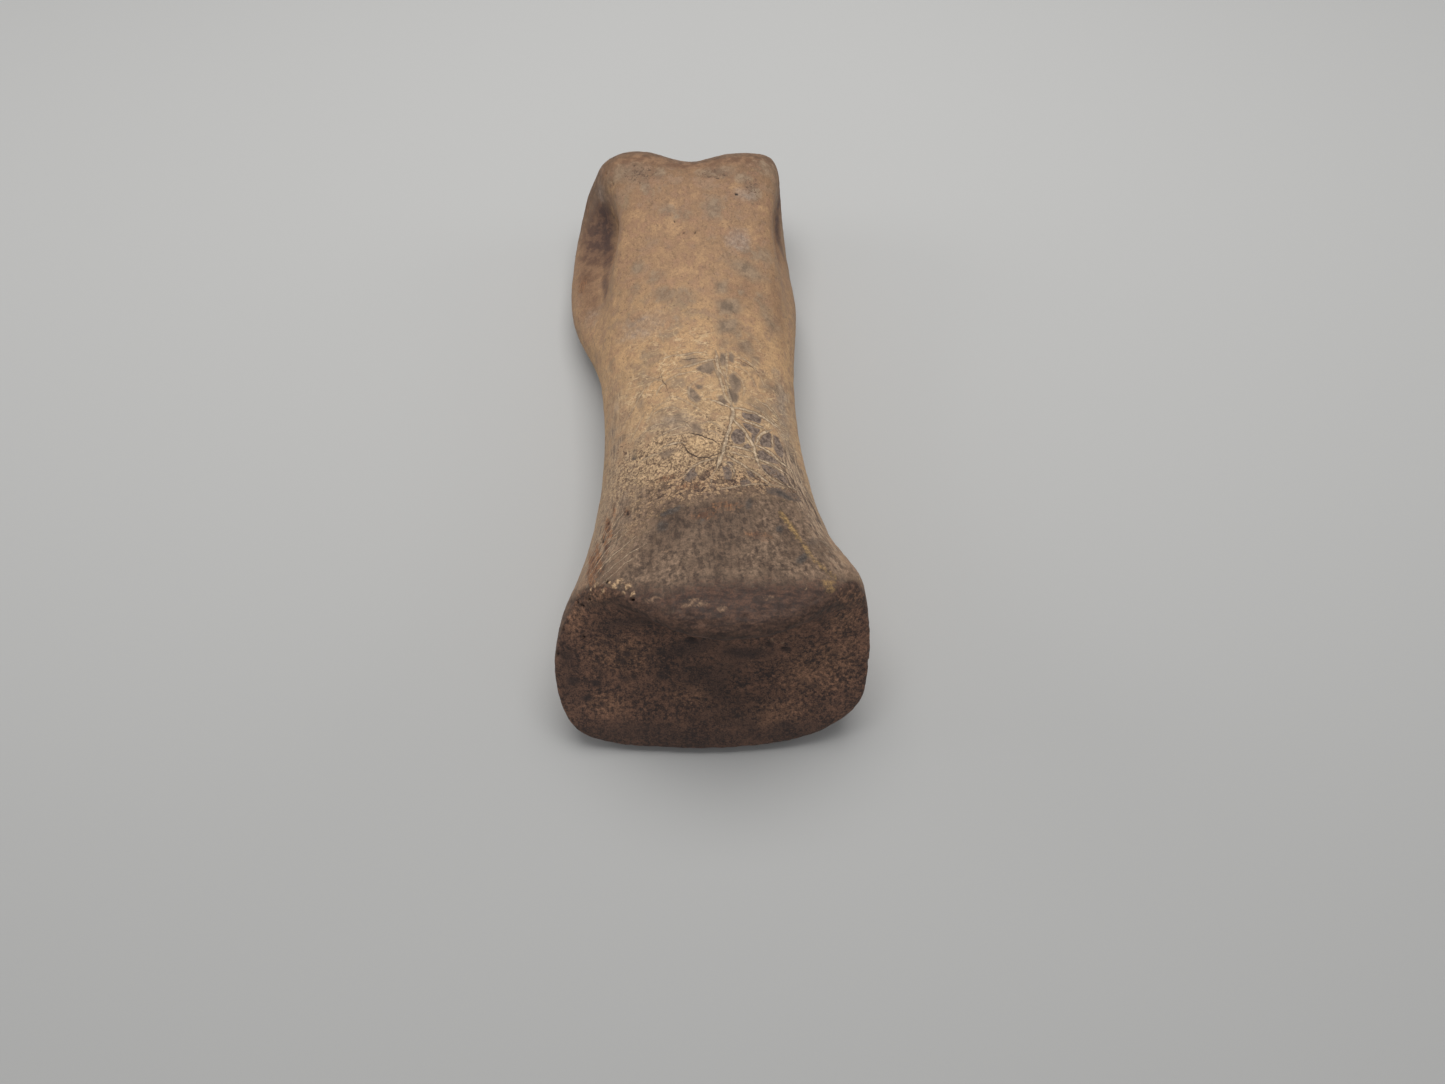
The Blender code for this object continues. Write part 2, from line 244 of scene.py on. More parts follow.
MARKINGS = {
    "net": (
        Region(1.0, 4.0, (
            (632, 350), (668, 335), (716, 330), (752, 345), (776, 380), (794, 430), (801, 480),
            (790, 492), (700, 486), (640, 470), (622, 440), (624, 390))),
    ),
    "grey": (
        Region(0.9, 2.0, (
            (778, 372), (790, 400), (791, 440), (801, 480), (816, 520), (834, 556), (836, 566),
            (818, 540), (802, 505), (790, 470), (780, 430), (770, 400))),
        Region(0.7, 2.0, (
            (610, 400), (620, 440), (620, 480), (612, 520), (604, 556), (588, 584), (590, 556),
            (600, 510), (610, 460), (610, 420))),
        Region(0.7, 2.4, (
            (640, 440), (652, 420), (676, 408), (700, 412), (708, 428), (696, 440), (670, 440))),
    ),
    # Reddish brown of the flange and flanks; the three wide spots along the far top rim are partly painted
    # shade where the rim turns away
    "brown": spots(
        (1.0, 2.6, 8.0, 4, 591, 262), (0.8, 2.0, 3.6, -6, 590, 300), (1.0, 5.0, 1.1, 0, 640, 159),
        (1.0, 6.0, 1.1, 0, 688, 166), (1.0, 5.0, 1.1, 0, 735, 160), (0.7, 1.8, 0.6, 0, 606, 174),
        (0.5, 4.0, 1.0, 0, 716, 171), (0.6, 1.0, 5.0, 0, 776, 250), (0.5, 1.4, 6.0, -4, 778, 310),
        (0.4, 3.0, 3.0, 0, 742, 290), (0.4, 2.6, 2.6, 0, 748, 345)),
    "mottle": (
        Region(0.8, 1.2, ((764, 379), (776, 384), (780, 394), (770, 394), (762, 388))),
        *spots(
            (0.6, 3.2, 1.6, 0, 628, 171), (0.7, 1.0, 1.2, 0, 660, 173), (0.7, 0.9, 2.2, -15, 646, 188),
            (0.7, 2.6, 1.2, 0, 716, 172), (0.7, 1.4, 1.0, 0, 744, 178), (0.9, 1.2, 1.8, 0, 753, 193),
            (0.6, 2.2, 1.8, 0, 766, 166), (0.7, 1.2, 1.0, 0, 667, 211), (0.6, 1.4, 1.2, 0, 682, 215),
            (0.8, 1.4, 2.0, 0, 714, 209), (0.7, 1.6, 1.0, 20, 748, 252), (0.6, 0.7, 1.2, 20, 743, 291),
            (0.65, 1.6, 1.4, 0, 763, 255), (0.65, 1.4, 1.6, 0, 763, 302), (0.55, 1.5, 1.5, 0, 644, 378),
            (0.8, 0.7, 0.9, 0, 747, 344), (0.6, 0.6, 1.0, 30, 737, 334), (0.8, 1.0, 1.2, 0, 637, 268),
            (0.6, 1.4, 1.2, 0, 655, 277), (0.8, 1.8, 1.3, 10, 664, 294), (0.6, 1.4, 1.6, 0, 685, 297),
            (0.6, 1.0, 1.2, 0, 634, 290), (0.5, 1.6, 1.6, 0, 632, 320), (0.5, 1.4, 1.4, 0, 674, 322),
            (0.6, 1.4, 1.2, 20, 667, 336), (0.6, 1.2, 0.9, 0, 690, 360), (0.5, 1.4, 1.2, 0, 650, 353),
            (0.6, 0.7, 1.8, -15, 612, 366), (0.6, 1.3, 1.1, 0, 678, 384), (0.6, 1.3, 1.0, 0, 762, 408),
            (0.5, 1.0, 1.0, 0, 757, 360), (0.5, 0.6, 2.6, -10, 640, 400), (0.6, 0.5, 2.0, 0, 634, 455)),
    ),
    "faded": (
        Region(1.0, 1.4, ((715, 282), (727, 281), (728, 293), (716, 293))),
        Region(1.0, 1.4, ((716, 300), (738, 299), (741, 308), (739, 315), (718, 315))),
        Region(1.0, 1.4, ((717, 319), (738, 318), (740, 326), (735, 334), (718, 334))),
        Region(0.9, 1.4, ((719, 338), (727, 338), (727, 348), (720, 349))),
        Region(0.9, 1.8, ((736, 341), (744, 341), (756, 352), (751, 356), (740, 350))),
        Region(0.9, 2.0, ((759, 312), (767, 311), (779, 326), (778, 334), (769, 331))),
        Region(1.0, 2.2, ((731, 262), (745, 261), (756, 267), (763, 278), (755, 281), (740, 274))),
    ),
    "dim": (
        Region(1.0, 0.8, ((695, 369), (703, 364), (713, 360), (715, 369), (711, 374), (703, 373))),
        Region(1.0, 0.8, ((728, 374), (733, 373), (741, 380), (742, 387), (737, 394), (730, 388))),
        Region(1.0, 0.8, ((727, 388), (735, 390), (739, 397), (736, 405), (730, 400))),
        Region(1.0, 0.8, ((687, 387), (694, 389), (702, 400), (696, 403), (689, 398))),
        Region(1.0, 0.8, ((695, 384), (703, 385), (702, 389), (696, 389))),
        Region(1.0, 0.8, ((720, 352), (725, 353), (727, 362), (724, 368), (720, 362))),
        Region(1.0, 0.8, ((728, 350), (735, 356), (734, 363), (729, 360))),
        Region(1.0, 0.8, ((717, 397), (723, 395), (729, 404), (722, 406))),
        Region(0.8, 0.8, ((738, 361), (746, 364), (751, 369), (742, 366))),
        Region(0.8, 0.8, ((680, 360), (690, 358), (699, 360), (690, 362))),
        Region(0.8, 0.8, ((752, 355), (760, 357), (763, 362), (755, 361))),
        Region(0.8, 0.8, ((717, 372), (721, 370), (721, 377), (717, 376))),
        Region(0.8, 1.2, ((690, 423), (699, 423), (706, 431), (700, 437), (691, 433))),
        Region(0.7, 1.2, ((672, 413), (683, 412), (688, 420), (680, 426), (672, 423))),
        Region(0.6, 1.2, ((659, 420), (668, 419), (672, 427), (661, 431))),
        Region(0.8, 1.2, ((658, 453), (668, 448), (680, 448), (671, 457), (661, 461))),
        Region(0.6, 1.2, ((654, 425), (650, 432), (644, 436), (646, 428))),
        Region(0.6, 0.9, ((672, 437), (676, 440), (668, 444), (662, 443))),
    ),
    "pale": spots(
        (0.75, 1.8, 2.0, 0, 738, 240), (0.5, 1.8, 1.2, 0, 744, 195), (0.4, 4.6, 2.4, 0, 644, 326),
        (0.4, 1.6, 1.6, 0, 601, 192), (0.3, 2.0, 2.0, 0, 592, 318)),
    "rust": spots(
        (1.0, 0.44, 3.0, -12, 608, 528), (0.8, 0.34, 2.6, -12, 605, 543),
        (1.0, 0.50, 3.6, -10, 598, 556), (1.0, 0.60, 3.6, -14, 592, 563),
        (0.9, 0.60, 2.4, -10, 590, 576), (0.7, 0.30, 1.8, -10, 614, 512),
        (0.8, 0.34, 1.0, -15, 627, 512), (0.6, 0.9, 1.8, 0, 583, 285), (0.4, 0.7, 1.6, 0, 587, 207),
        (0.5, 2.4, 0.9, 0, 745, 594), (0.45, 2.0, 0.9, 0, 725, 506), (0.5, 1.4, 0.8, 0, 704, 516),
        (0.45, 1.8, 0.8, 0, 757, 535), (0.5, 1.2, 0.6, 0, 664, 478), (0.5, 1.6, 0.6, 0, 690, 486),
        (0.5, 2.6, 0.7, 0, 715, 622), (0.5, 2.6, 0.7, 0, 765, 612)),
    "golden": (
        Region(1.0, 3.0, (
            (640, 448), (662, 430), (690, 434), (716, 444), (728, 462), (724, 486), (700, 500),
            (670, 498), (640, 512), (622, 520), (612, 500), (624, 470))),
        Region(0.85, 4.0, (
            (611, 462), (640, 446), (680, 438), (704, 410), (730, 420), (752, 462), (792, 492), (800, 508),
            (770, 496), (716, 502), (650, 520), (612, 560), (598, 560), (602, 500))),
    ),
    "bright": (
        Region(0.55, 1.0, (
            (684, 443), (692, 436), (704, 439), (716, 444), (722, 449), (717, 454), (706, 457),
            (697, 456), (688, 450))),
        *spots(
            (0.6, 1.6, 0.8, 0, 712, 425), (0.6, 1.4, 0.5, 0, 640, 500), (0.6, 1.8, 0.5, 0, 682, 496),
            (0.5, 1.2, 0.5, 0, 655, 483), (0.5, 2.6, 1.6, 0, 700, 408)),
    ),
    "tint": (
        Region(0.80, 3.0, (
            (640, 490), (668, 476), (700, 470), (740, 470), (780, 480), (806, 492), (812, 508),
            (770, 500), (716, 504), (664, 516), (630, 536), (616, 524))),
    ),
    "stipple": (
        Region(0.42, 3.0, (
            (614, 538), (640, 514), (664, 494), (690, 478), (730, 476), (770, 480), (800, 490),
            (812, 508), (800, 520), (760, 505), (715, 505), (674, 522), (644, 548), (624, 570),
            (606, 574), (608, 556))),
        Region(0.20, 4.0, (
            (611, 440), (650, 436), (700, 446), (770, 462), (796, 474), (800, 500), (700, 500),
            (640, 510), (602, 520))),
        *spots(
            (0.45, 2.6, 1.6, 0, 640, 174), (0.42, 2.4, 1.0, 0, 714, 174), (0.45, 1.2, 1.6, 0, 752, 186)),
    ),
    "striped": (
        Region(0.65, 2.4, (
            (606, 500), (624, 486), (644, 490), (640, 512), (624, 548), (604, 582), (584, 590),
            (590, 560), (600, 530))),
        Region(0.8, 1.4, (
            (784, 440), (798, 462), (812, 498), (828, 536), (846, 570), (834, 578), (814, 550),
            (798, 512), (784, 480), (774, 460))),
        Region(0.4, 2.4, (
            (604, 372), (624, 380), (634, 430), (636, 470), (624, 492), (604, 500))),
    ),
    "weathered": (
        Region(0.95, 2.2, (
            (640, 532), (655, 516), (680, 506), (700, 501), (715, 497), (760, 493), (790, 498),
            (804, 514), (816, 536), (830, 560), (846, 576), (858, 586), (840, 602), (800, 618),
            (750, 630), (700, 624), (650, 606), (606, 592), (616, 572), (626, 550))),
        Region(0.46, 4.0, (
            (600, 530), (614, 500), (642, 484), (690, 486), (730, 490), (790, 490), (814, 510),
            (832, 545), (856, 580), (700, 610), (592, 590), (596, 562))),
        *spots(
            (0.6, 1.6, 1.4, 0, 848, 571), (0.7, 1.4, 2.2, -20, 598, 571)),
    ),
    "shaded": (
        Region(0.85, 1.6, (
            (656, 508), (672, 505), (690, 505), (704, 500), (720, 500), (722, 512), (704, 520),
            (690, 530), (674, 534), (662, 533), (656, 522))),
        Region(0.5, 1.6, (
            (736, 500), (752, 498), (758, 512), (752, 532), (742, 545), (736, 528))),
        Region(0.6, 1.2, (
            (776, 506), (786, 512), (790, 524), (798, 540), (810, 560), (800, 562), (788, 546),
            (778, 528))),
        Region(0.6, 2.4, (
            (704, 500), (738, 498), (742, 530), (736, 572), (712, 574), (698, 540))),
        *spots(
            (0.5, 2.4, 1.8, 0, 668, 540), (0.6, 0.9, 2.4, 0, 824, 546), (0.5, 0.9, 2.2, 0, 694, 572),
            (0.5, 0.9, 1.6, 0, 650, 556), (0.5, 1.6, 2.0, -20, 604, 574), (0.5, 1.0, 2.0, 0, 768, 570)),
    ),
    "band": (
        Region(1.0, 2.4, (
            (596, 598), (606, 590), (640, 588), (670, 590), (700, 584), (740, 582), (780, 584),
            (810, 582), (836, 580), (856, 590), (846, 598), (824, 608), (796, 620), (760, 634),
            (720, 634), (690, 626), (656, 612), (620, 598))),
    ),
    "slate": spots(
        (0.9, 1.5, 0.5, -14, 671, 511), (0.7, 0.8, 0.9, 0, 662, 526), (0.6, 0.6, 0.4, -20, 701, 521),
        (0.7, 0.5, 1.4, 20, 749, 504), (0.9, 1.6, 0.6, 20, 784, 495), (0.6, 0.8, 0.4, 0, 770, 491),
        (0.9, 0.5, 0.9, 25, 780, 529), (0.5, 0.7, 1.4, 25, 813, 542), (0.9, 0.5, 1.6, 32, 803, 558),
        (0.5, 0.5, 1.2, 0, 634, 455), (0.5, 0.5, 0.6, 0, 635, 481)),
    "ochre": (
        Line(0.95, 0.60, ((781, 513), (787, 521), (793, 530), (798, 537))),
        Line(0.65, 0.50, ((798, 537), (805, 547), (812, 557), (820, 566), (829, 573), (835, 577))),
        *spots(
            (0.5, 0.9, 0.9, 0, 829, 585)),
    ),
    # Lighter patches of the joint face: partly lighter brown and golden specks, and on its lower left and
    # right, where the face turns up, painted light
    "lightened": spots(
        (0.5, 2.4, 1.6, 8, 606, 704), (0.55, 2.0, 1.2, 24, 848, 598), (0.6, 3.6, 2.4, 0, 620, 654),
        (0.6, 2.6, 0.9, -14, 597, 594), (0.5, 1.0, 3.0, 20, 576, 616), (0.5, 2.0, 2.0, 0, 842, 624),
        (0.6, 4.5, 3.4, -20, 820, 668), (0.5, 4.0, 2.0, -8, 770, 715), (0.5, 2.4, 1.4, 0, 692, 694),
        (0.5, 0.8, 0.6, 0, 614, 657), (0.5, 0.8, 0.8, 0, 851, 643), (0.55, 0.8, 1.4, 0, 860, 594)),
    # Dark spots on the joint face; the three long spots just under the lip's edge are painted shadow under
    # its overhang
    "blotch": spots(
        (0.8, 0.9, 0.6, 0, 574, 681), (0.9, 0.6, 0.5, 0, 596, 683), (0.7, 0.6, 0.5, 0, 661, 676),
        (0.8, 0.8, 0.5, 0, 587, 698), (0.9, 1.1, 0.4, 0, 691, 641), (0.8, 0.8, 0.4, 0, 662, 653),
        (0.8, 0.6, 0.4, 10, 769, 645), (0.8, 0.7, 0.4, 10, 786, 649), (0.7, 0.6, 0.4, 10, 752, 656),
        (0.6, 0.5, 0.3, 0, 728, 644), (0.7, 0.6, 0.5, 0, 627, 654), (0.7, 0.5, 0.4, 0, 623, 661),
        (0.6, 0.4, 0.4, 0, 649, 657), (0.6, 0.5, 0.4, 0, 606, 643), (0.5, 0.6, 0.6, 0, 625, 680),
        (0.6, 0.4, 0.4, 0, 674, 686), (0.6, 0.5, 0.4, 0, 602, 705), (0.5, 1.0, 0.7, 0, 566, 656),
        (0.4, 4.4, 1.2, -20, 630, 622), (0.5, 3.4, 1.2, -14, 690, 648), (0.6, 3.4, 1.1, 4, 744, 653),
        (0.4, 1.6, 2.6, 10, 716, 684), (0.4, 1.6, 0.8, 0, 745, 725), (0.5, 0.8, 0.5, 0, 814, 686),
        (0.5, 0.8, 0.5, 0, 784, 724)),
    "pit": spots(
        (1.0, 2.4, 5.2, 6, 604, 226), (0.7, 3.2, 6.6, 4, 598, 232), (0.9, 1.3, 5.0, -4, 608, 250),
        (0.7, 0.9, 4.0, -4, 606, 285), (0.8, 1.0, 6.0, 3, 777, 225)),
    "cream": spots(
        (0.8, 0.46, 0.40, 0, 620, 582), (0.9, 0.34, 0.40, 0, 628, 586), (0.8, 0.32, 0.38, 0, 633, 595),
        (0.7, 0.44, 0.36, 0, 614, 587), (0.8, 0.22, 0.22, 0, 603, 590), (0.6, 0.40, 0.34, 0, 597, 585),
        (0.6, 0.32, 0.26, 0, 592, 590), (0.6, 0.26, 0.28, 0, 622, 593), (0.7, 0.20, 0.20, 0, 807, 589),
        (0.6, 0.35, 0.45, 0, 859, 578), (0.8, 0.22, 0.42, 0, 696, 471), (0.8, 0.36, 0.40, 0, 711, 491),
        (0.6, 0.24, 0.24, 0, 632, 490), (0.5, 0.24, 0.24, 0, 627, 495)),
    "paled": spots(
        (0.6, 1.50, 0.50, 5, 694, 603), (0.5, 0.50, 0.40, 0, 722, 609), (0.4, 1.30, 0.40, -4, 655, 598),
        (0.3, 1.20, 0.40, 0, 768, 598), (0.6, 0.24, 0.24, 0, 673, 580), (0.7, 0.30, 0.26, 0, 773, 640),
        (0.7, 0.24, 0.24, 0, 784, 643), (0.6, 0.28, 0.22, 0, 762, 648), (0.5, 0.24, 0.24, 0, 778, 540),
        (0.5, 0.24, 0.30, 0, 666, 551), (0.5, 0.24, 0.24, 0, 642, 561), (0.5, 0.30, 0.30, 0, 644, 524),
        (0.5, 0.30, 0.30, 0, 626, 540)),
    "dusky": spots(
        (0.8, 7.0, 1.6, 2, 640, 732), (0.8, 7.0, 1.4, 0, 700, 740), (0.7, 6.0, 1.4, -6, 780, 732),
        (0.5, 2.4, 2.4, 0, 694, 676), (0.55, 1.8, 1.6, 0, 730, 666), (0.55, 5.0, 1.4, 0, 726, 718),
        (0.5, 3.0, 1.2, 0, 740, 700), (0.5, 1.4, 6.0, 0, 566, 670)),
    "hole": spots(
        (1.0, 0.20, 0.60, -10, 627, 513), (1.0, 0.20, 0.60, -10, 602, 541),
        (0.9, 0.20, 0.60, -10, 608, 522), (0.8, 0.20, 0.20, 0, 674, 221),
        (0.9, 0.26, 0.30, 0, 695, 231), (0.7, 0.24, 0.20, 0, 684, 233), (0.9, 0.25, 0.30, 0, 737, 194),
        (0.7, 0.25, 0.25, 0, 606, 174), (0.7, 0.22, 0.22, 0, 612, 183), (0.7, 0.22, 0.22, 0, 634, 165),
        (0.9, 0.35, 0.16, 0, 768, 644), (0.9, 0.35, 0.16, 0, 785, 648), (0.9, 0.60, 0.14, 0, 691, 640),
        (0.8, 0.40, 0.14, 0, 663, 653), (0.9, 0.28, 0.16, 0, 632, 600), (0.9, 0.20, 0.24, 0, 606, 582),
        (0.8, 0.20, 0.18, 0, 589, 600), (0.8, 0.18, 0.18, 0, 582, 606), (0.8, 0.16, 0.20, 0, 577, 603),
        (0.8, 0.20, 0.20, 0, 584, 637), (0.8, 0.18, 0.18, 0, 563, 630)),
}
CRUMBS = Region(1.0, 0.8, (
    (574, 604), (586, 594), (600, 582), (616, 578), (632, 580), (642, 590), (640, 601),
    (616, 594), (600, 598), (588, 606)))

# Marks that shape the skin alone, and that the material doesn't read
RELIEF_ONLY = {"whole", "shaft", "rim", "trace", "crack"}

# Relief that goes with a marking, in millimetres out of the surface
RELIEF = {
    "trace": 0.02,
    "crack": -0.06,
    "cell": -0.04,
    "hole": -0.40,
    "cream": 0.12,
    "gap": -0.08,
    "blotch": -0.04,
}

# Uneven layers of the skin: how far one pushes the skin out, the size of its lumps across,
# along and up, both in millimetres, their octaves and seed, and the mark it keeps to
Layer = namedtuple("Layer", "push size octaves seed mark")
LAYERS = (
    Layer(0.07, (4, 4, 4), 3, 1.0, "whole"),
    Layer(0.03, (0.9, 0.9, 0.9), 3, 2.0, "whole"),
    Layer(0.04, (3, 0.5, 0.5), 3, 5.0, "lip"),
    Layer(0.06, (1.4, 1.4, 1.4), 4, 6.0, "joint_face"),
)

# Fibres stand out from the shaft by a push of their own, and by more where it is weathered.
# Chips are cut where their lumps pass over a span, and are shallower on the lip by a share.
FIBRES = Layer(1.0, (0.45, 4, 0.45), 3, 4.0, "shaft")
FIBRE_PUSH = 0.012
WEATHERED_PUSH = 0.05
CHIPS = Layer(-0.40, (1.3, 1.3, 1.3), 4, 8.0, "rim")
CHIP_SPAN = (0.15, 0.7)
LIP_SPARED = 0.85

# Crumbs along the left of the lip: their lumps, the spans of these that stand out and that
# are gaps, and how strong each is
CRUMB_LUMPS = ((0.5, 0.5, 0.5), 2, 9.0)
CRUMB_SPAN = (0.35, 0.7)
CRUMB_STRENGTH = 0.7
GAP_SPAN = (-0.45, -0.15)
GAP_STRENGTH = 0.55

# Edges of markings wander by this reach, over lumps of this size, both in millimetres
DRIFT_SIZE = (1.2, 1.2, 1.2)
DRIFT_SEEDS = (3.1, 7.7, 12.9)
DRIFT_REACH = 0.12

# Lines are laid in sets. Lines of one set keep this far apart, and a line's own reach
# ends between these distances from its edge. It is worked out within a margin of it, and
# thins to a share of its width towards its ends. All lengths are in millimetres.
LINE_APART = 0.52
LINE_REACH = (0.24, 0.46)
LINE_SIDES = 4.0
LINE_MARGIN = 2.0
LINE_TAPER = 0.9
LINE_END = 0.35


def screen(red, green, blue):
    """A linear colour from its 0 to 255 screen values."""

    def linear(value):
        value /= 255
        return value / 12.92 if value <= 0.04045 else ((value + 0.055) / 1.055) ** 2.4
    return linear(red), linear(green), linear(blue), 1.0


# Bare bone along its length, from the near joint to the far one, wavering by a share; its last two stops
# are partly painted shade along the far rim
BONE_TONES = (
    (0.00, screen(132, 106, 87)),
    (0.16, screen(148, 122, 99)),
    (0.30, screen(180, 151, 118)),
    (0.42, screen(184, 151, 114)),
    (0.56, screen(184, 148, 109)),
    (0.70, screen(159, 126, 95)),
    (0.86, screen(147, 115, 87)),
    (0.92, screen(113, 87, 66)),
    (1.00, screen(82, 62, 47)),
)
TONE_WAVER = 0.16

# Soft clouds over it: a colour, the grain that places it, the span of the grain over which
# it comes in, and its strength. Then freckles, by their size and strength.
CLOUDS = (
    (screen(198, 158, 116), "cloud", 0.50, 0.64, 0.42),
    (screen(142, 123, 99), "cloud", 0.49, 0.38, 0.60),
    (screen(160, 122, 98), "middle", 0.54, 0.36, 0.40),
)
FRECKLE = screen(104, 82, 64)
FRECKLES = ((0.70 * MM, 0.35), (0.32 * MM, 0.50))
FRECKLE_SPAN = (0.58, 0.72)
FRECKLE_STRETCH = (1.3, 0.9, 1)

# The etched net's lines: how the noise that draws them is stretched, its size, the lines'
# colour, how near its middle level they lie, and their strength
NET_LINE = screen(214, 184, 144)
NET_DARK = screen(124, 103, 82)
NET_LINES = (
    ((0.6, 1.3, 0.6), 1.4 * MM, NET_LINE, 0.034, 0.75),
    ((0.9, 0.9, 0.9), 1.0 * MM, NET_DARK, 0.026, 0.60),
    ((0.5, 1.6, 0.5), 0.9 * MM, NET_LINE, 0.030, 0.60),
    ((0.7, 1.1, 0.7), 0.7 * MM, NET_DARK, 0.026, 0.40),
)

# The net is pushed about by a noise of a size and a reach, and comes and goes in patches
NET_WARP = (2.6 * MM, 1.4 * MM)
NET_PATCH = 1.6 * MM
NET_PATCH_SPAN = (0.42, 0.60)

# Grains: the places that one is laid in, how they are stretched, and the size, detail,
# roughness and distortion of its noise
Grain = namedtuple("Grain", "space stretch size detail rough distortion")
GRAINS = {
    "coarse": Grain("place", None, 3.4 * MM, 3.0, 0.55, 0.0),
    "middle": Grain("place", None, 1.3 * MM, 4.0, 0.60, 0.0),
    "fine": Grain("place", None, 0.42 * MM, 4.0, 0.68, 0.0),
    "speck": Grain("place", None, 0.15 * MM, 2.0, 0.60, 0.0),
    "along": Grain("flow", (1, 0.35, 1), 0.36 * MM, 4.0, 0.62, 0.3),
    "stripe": Grain("flow", (1, 0.09, 1), 0.24 * MM, 3.0, 0.62, 0.3),
    "dashes": Grain("flow", (1, 0.30, 1), 0.38 * MM, 3.0, 0.60, 0.3),
    "across": Grain("place", (0.35, 1, 1), 0.44 * MM, 3.0, 0.60, 0.4),
    "crumbs": Grain("flow", (1, 0.8, 1), 0.22 * MM, 3.0, 0.65, 0.8),
    "clumps": Grain("place", None, 0.48 * MM, 3.0, 0.60, 0.8),
}

# One more grain is of small angular flakes: their size, the noise that bends them, and how
# soft their edges are
FLAKE_SIZE = 0.42 * MM
FLAKE_WARP = (0.5 * MM, 0.3 * MM)
FLAKE_EDGE = 0.10

# Mixed grains: the grains that one is made of, and their weights
MIXES = {
    "cloud": {"coarse": 0.5, "middle": 0.5},
    "fibre": {"along": 0.40, "fine": 0.30, "middle": 0.30},
    "streak": {"dashes": 0.36, "fine": 0.42, "middle": 0.22},
    "cross": {"across": 0.50, "fine": 0.25, "middle": 0.25},
    "face": {"coarse": 0.20, "middle": 0.15, "fine": 0.45, "speck": 0.20},
    "crumb": {"crumbs": 0.50, "clumps": 0.50},
    "mosaic": {"flakes": 0.35, "crumbs": 0.40, "middle": 0.30},
}

# Stain: a marking's two colours, the grain that mixes them, the grain that breaks up its
# edge and how much, and how soft the edge is. The colours mix over a span of the grain.
TONE_SPAN = (0.39, 0.61)
Stain = namedtuple("Stain", "name dark light grain edge ragged soft")
GROUND_STAINS = (
    Stain("underside", (106, 82, 63), (138, 110, 86), "middle", "coarse", 1.0, 0.9),
    Stain("end_rim", (76, 58, 49), (116, 91, 74), "fibre", "middle", 0.9, 1.0),
    # The far joint's surface: partly its own brown, partly painted shade along the far rim
    Stain("pulley", (104, 80, 62), (132, 103, 80), "middle", "coarse", 0.8, 0.9),
    # Reddish brown, and partly painted shade along the far top rim
    Stain("brown", (114, 84, 64), (142, 110, 84), "middle", "middle", 0.5, 1.2),
    Stain("grey", (128, 110, 95), (166, 144, 122), "fibre", "middle", 0.8, 1.0),
    Stain("pit", (78, 58, 52), (110, 82, 66), "middle", "coarse", 0.3, 1.2),
    Stain("mottle", (118, 98, 81), (149, 126, 103), "middle", "middle", 1.3, 1.2),
    Stain("pale", (138, 119, 106), (162, 141, 125), "fine", "middle", 0.8, 1.1),
)
MARK_STAINS = (
    Stain("golden", (98, 77, 60), (209, 176, 137), "crumb", "middle", 1.0, 0.8),
    Stain("bright", (148, 119, 89), (210, 177, 134), "crumb", "fine", 1.2, 0.9),
    Stain("tint", (72, 53, 44), (192, 157, 120), "mosaic", "middle", 1.1, 0.8),
    Stain("faded", (120, 101, 83), (151, 127, 103), "middle", "middle", 0.5, 0.9),
    Stain("dim", (116, 98, 82), (144, 122, 101), "middle", "fine", 0.25, 0.5),
    Stain("striped", (98, 81, 69), (178, 152, 126), "stripe", "middle", 0.9, 0.9),
    Stain("cell", (98, 82, 73), (136, 118, 104), "fine", "fine", 0.06, 0.2),
    Stain("stipple", (84, 66, 54), (126, 100, 80), "crumb", "fine", 1.9, 0.35),
    Stain("weathered", (74, 58, 48), (136, 112, 92), "streak", "fibre", 1.6, 1.0),
    Stain("shaded", (60, 46, 38), (108, 86, 70), "streak", "fine", 1.2, 1.3),
    Stain("rust", (86, 57, 43), (148, 106, 74), "stripe", "fine", 1.3, 1.1),
    Stain("band", (58, 42, 36), (94, 68, 55), "cross", "fine", 0.9, 1.0),
    Stain("lip", (56, 41, 35), (96, 71, 58), "cross", "fine", 0.9, 0.9),
    Stain("joint_face", (50, 37, 34), (118, 86, 69), "face", "middle", 0.5, 0.6),
    # Lighter brown, and painted light on the joint face's lower left and right
    Stain("lightened", (74, 54, 45), (144, 107, 83), "face", "fine", 1.1, 1.2),
    Stain("dusky", (50, 38, 35), (88, 65, 54), "face", "fine", 1.1, 1.2),
    Stain("slate", (60, 54, 51), (90, 79, 71), "fine", "fine", 0.9, 0.8),
    # Dark spots, and painted shadow just under the lip's edge
    Stain("blotch", (42, 33, 33), (66, 51, 46), "fine", "fine", 1.1, 0.8),
    Stain("ochre", (116, 93, 64), (154, 124, 82), "fine", "fine", 0.6, 1.0),
    Stain("paled", (92, 71, 58), (136, 110, 88), "fine", "fine", 1.0, 1.1),
    Stain("gap", (44, 34, 31), (70, 55, 47), "fine", "fine", 0.4, 0.6),
    Stain("cream", (122, 94, 72), (186, 155, 120), "fine", "fine", 0.8, 0.8),
    Stain("hole", (34, 26, 25), (54, 42, 37), "fine", "fine", 0.2, 0.5),
)

# Drawn lines lie over every stain. A line's core and the dark groove round it end between
# these places across it, in half widths.
TRACE = Stain("trace", (158, 137, 114), (204, 180, 150), "fine", "", 0, 0)
CRACK = Stain("crack", (62, 47, 38), (84, 65, 51), "fine", "", 0, 0)
LINE_CORE = (1.15, 0.75)
GROOVE_EDGE = (2.3, 1.6)
GROOVE = screen(78, 62, 50)
TRACE_GROOVES = 0.55

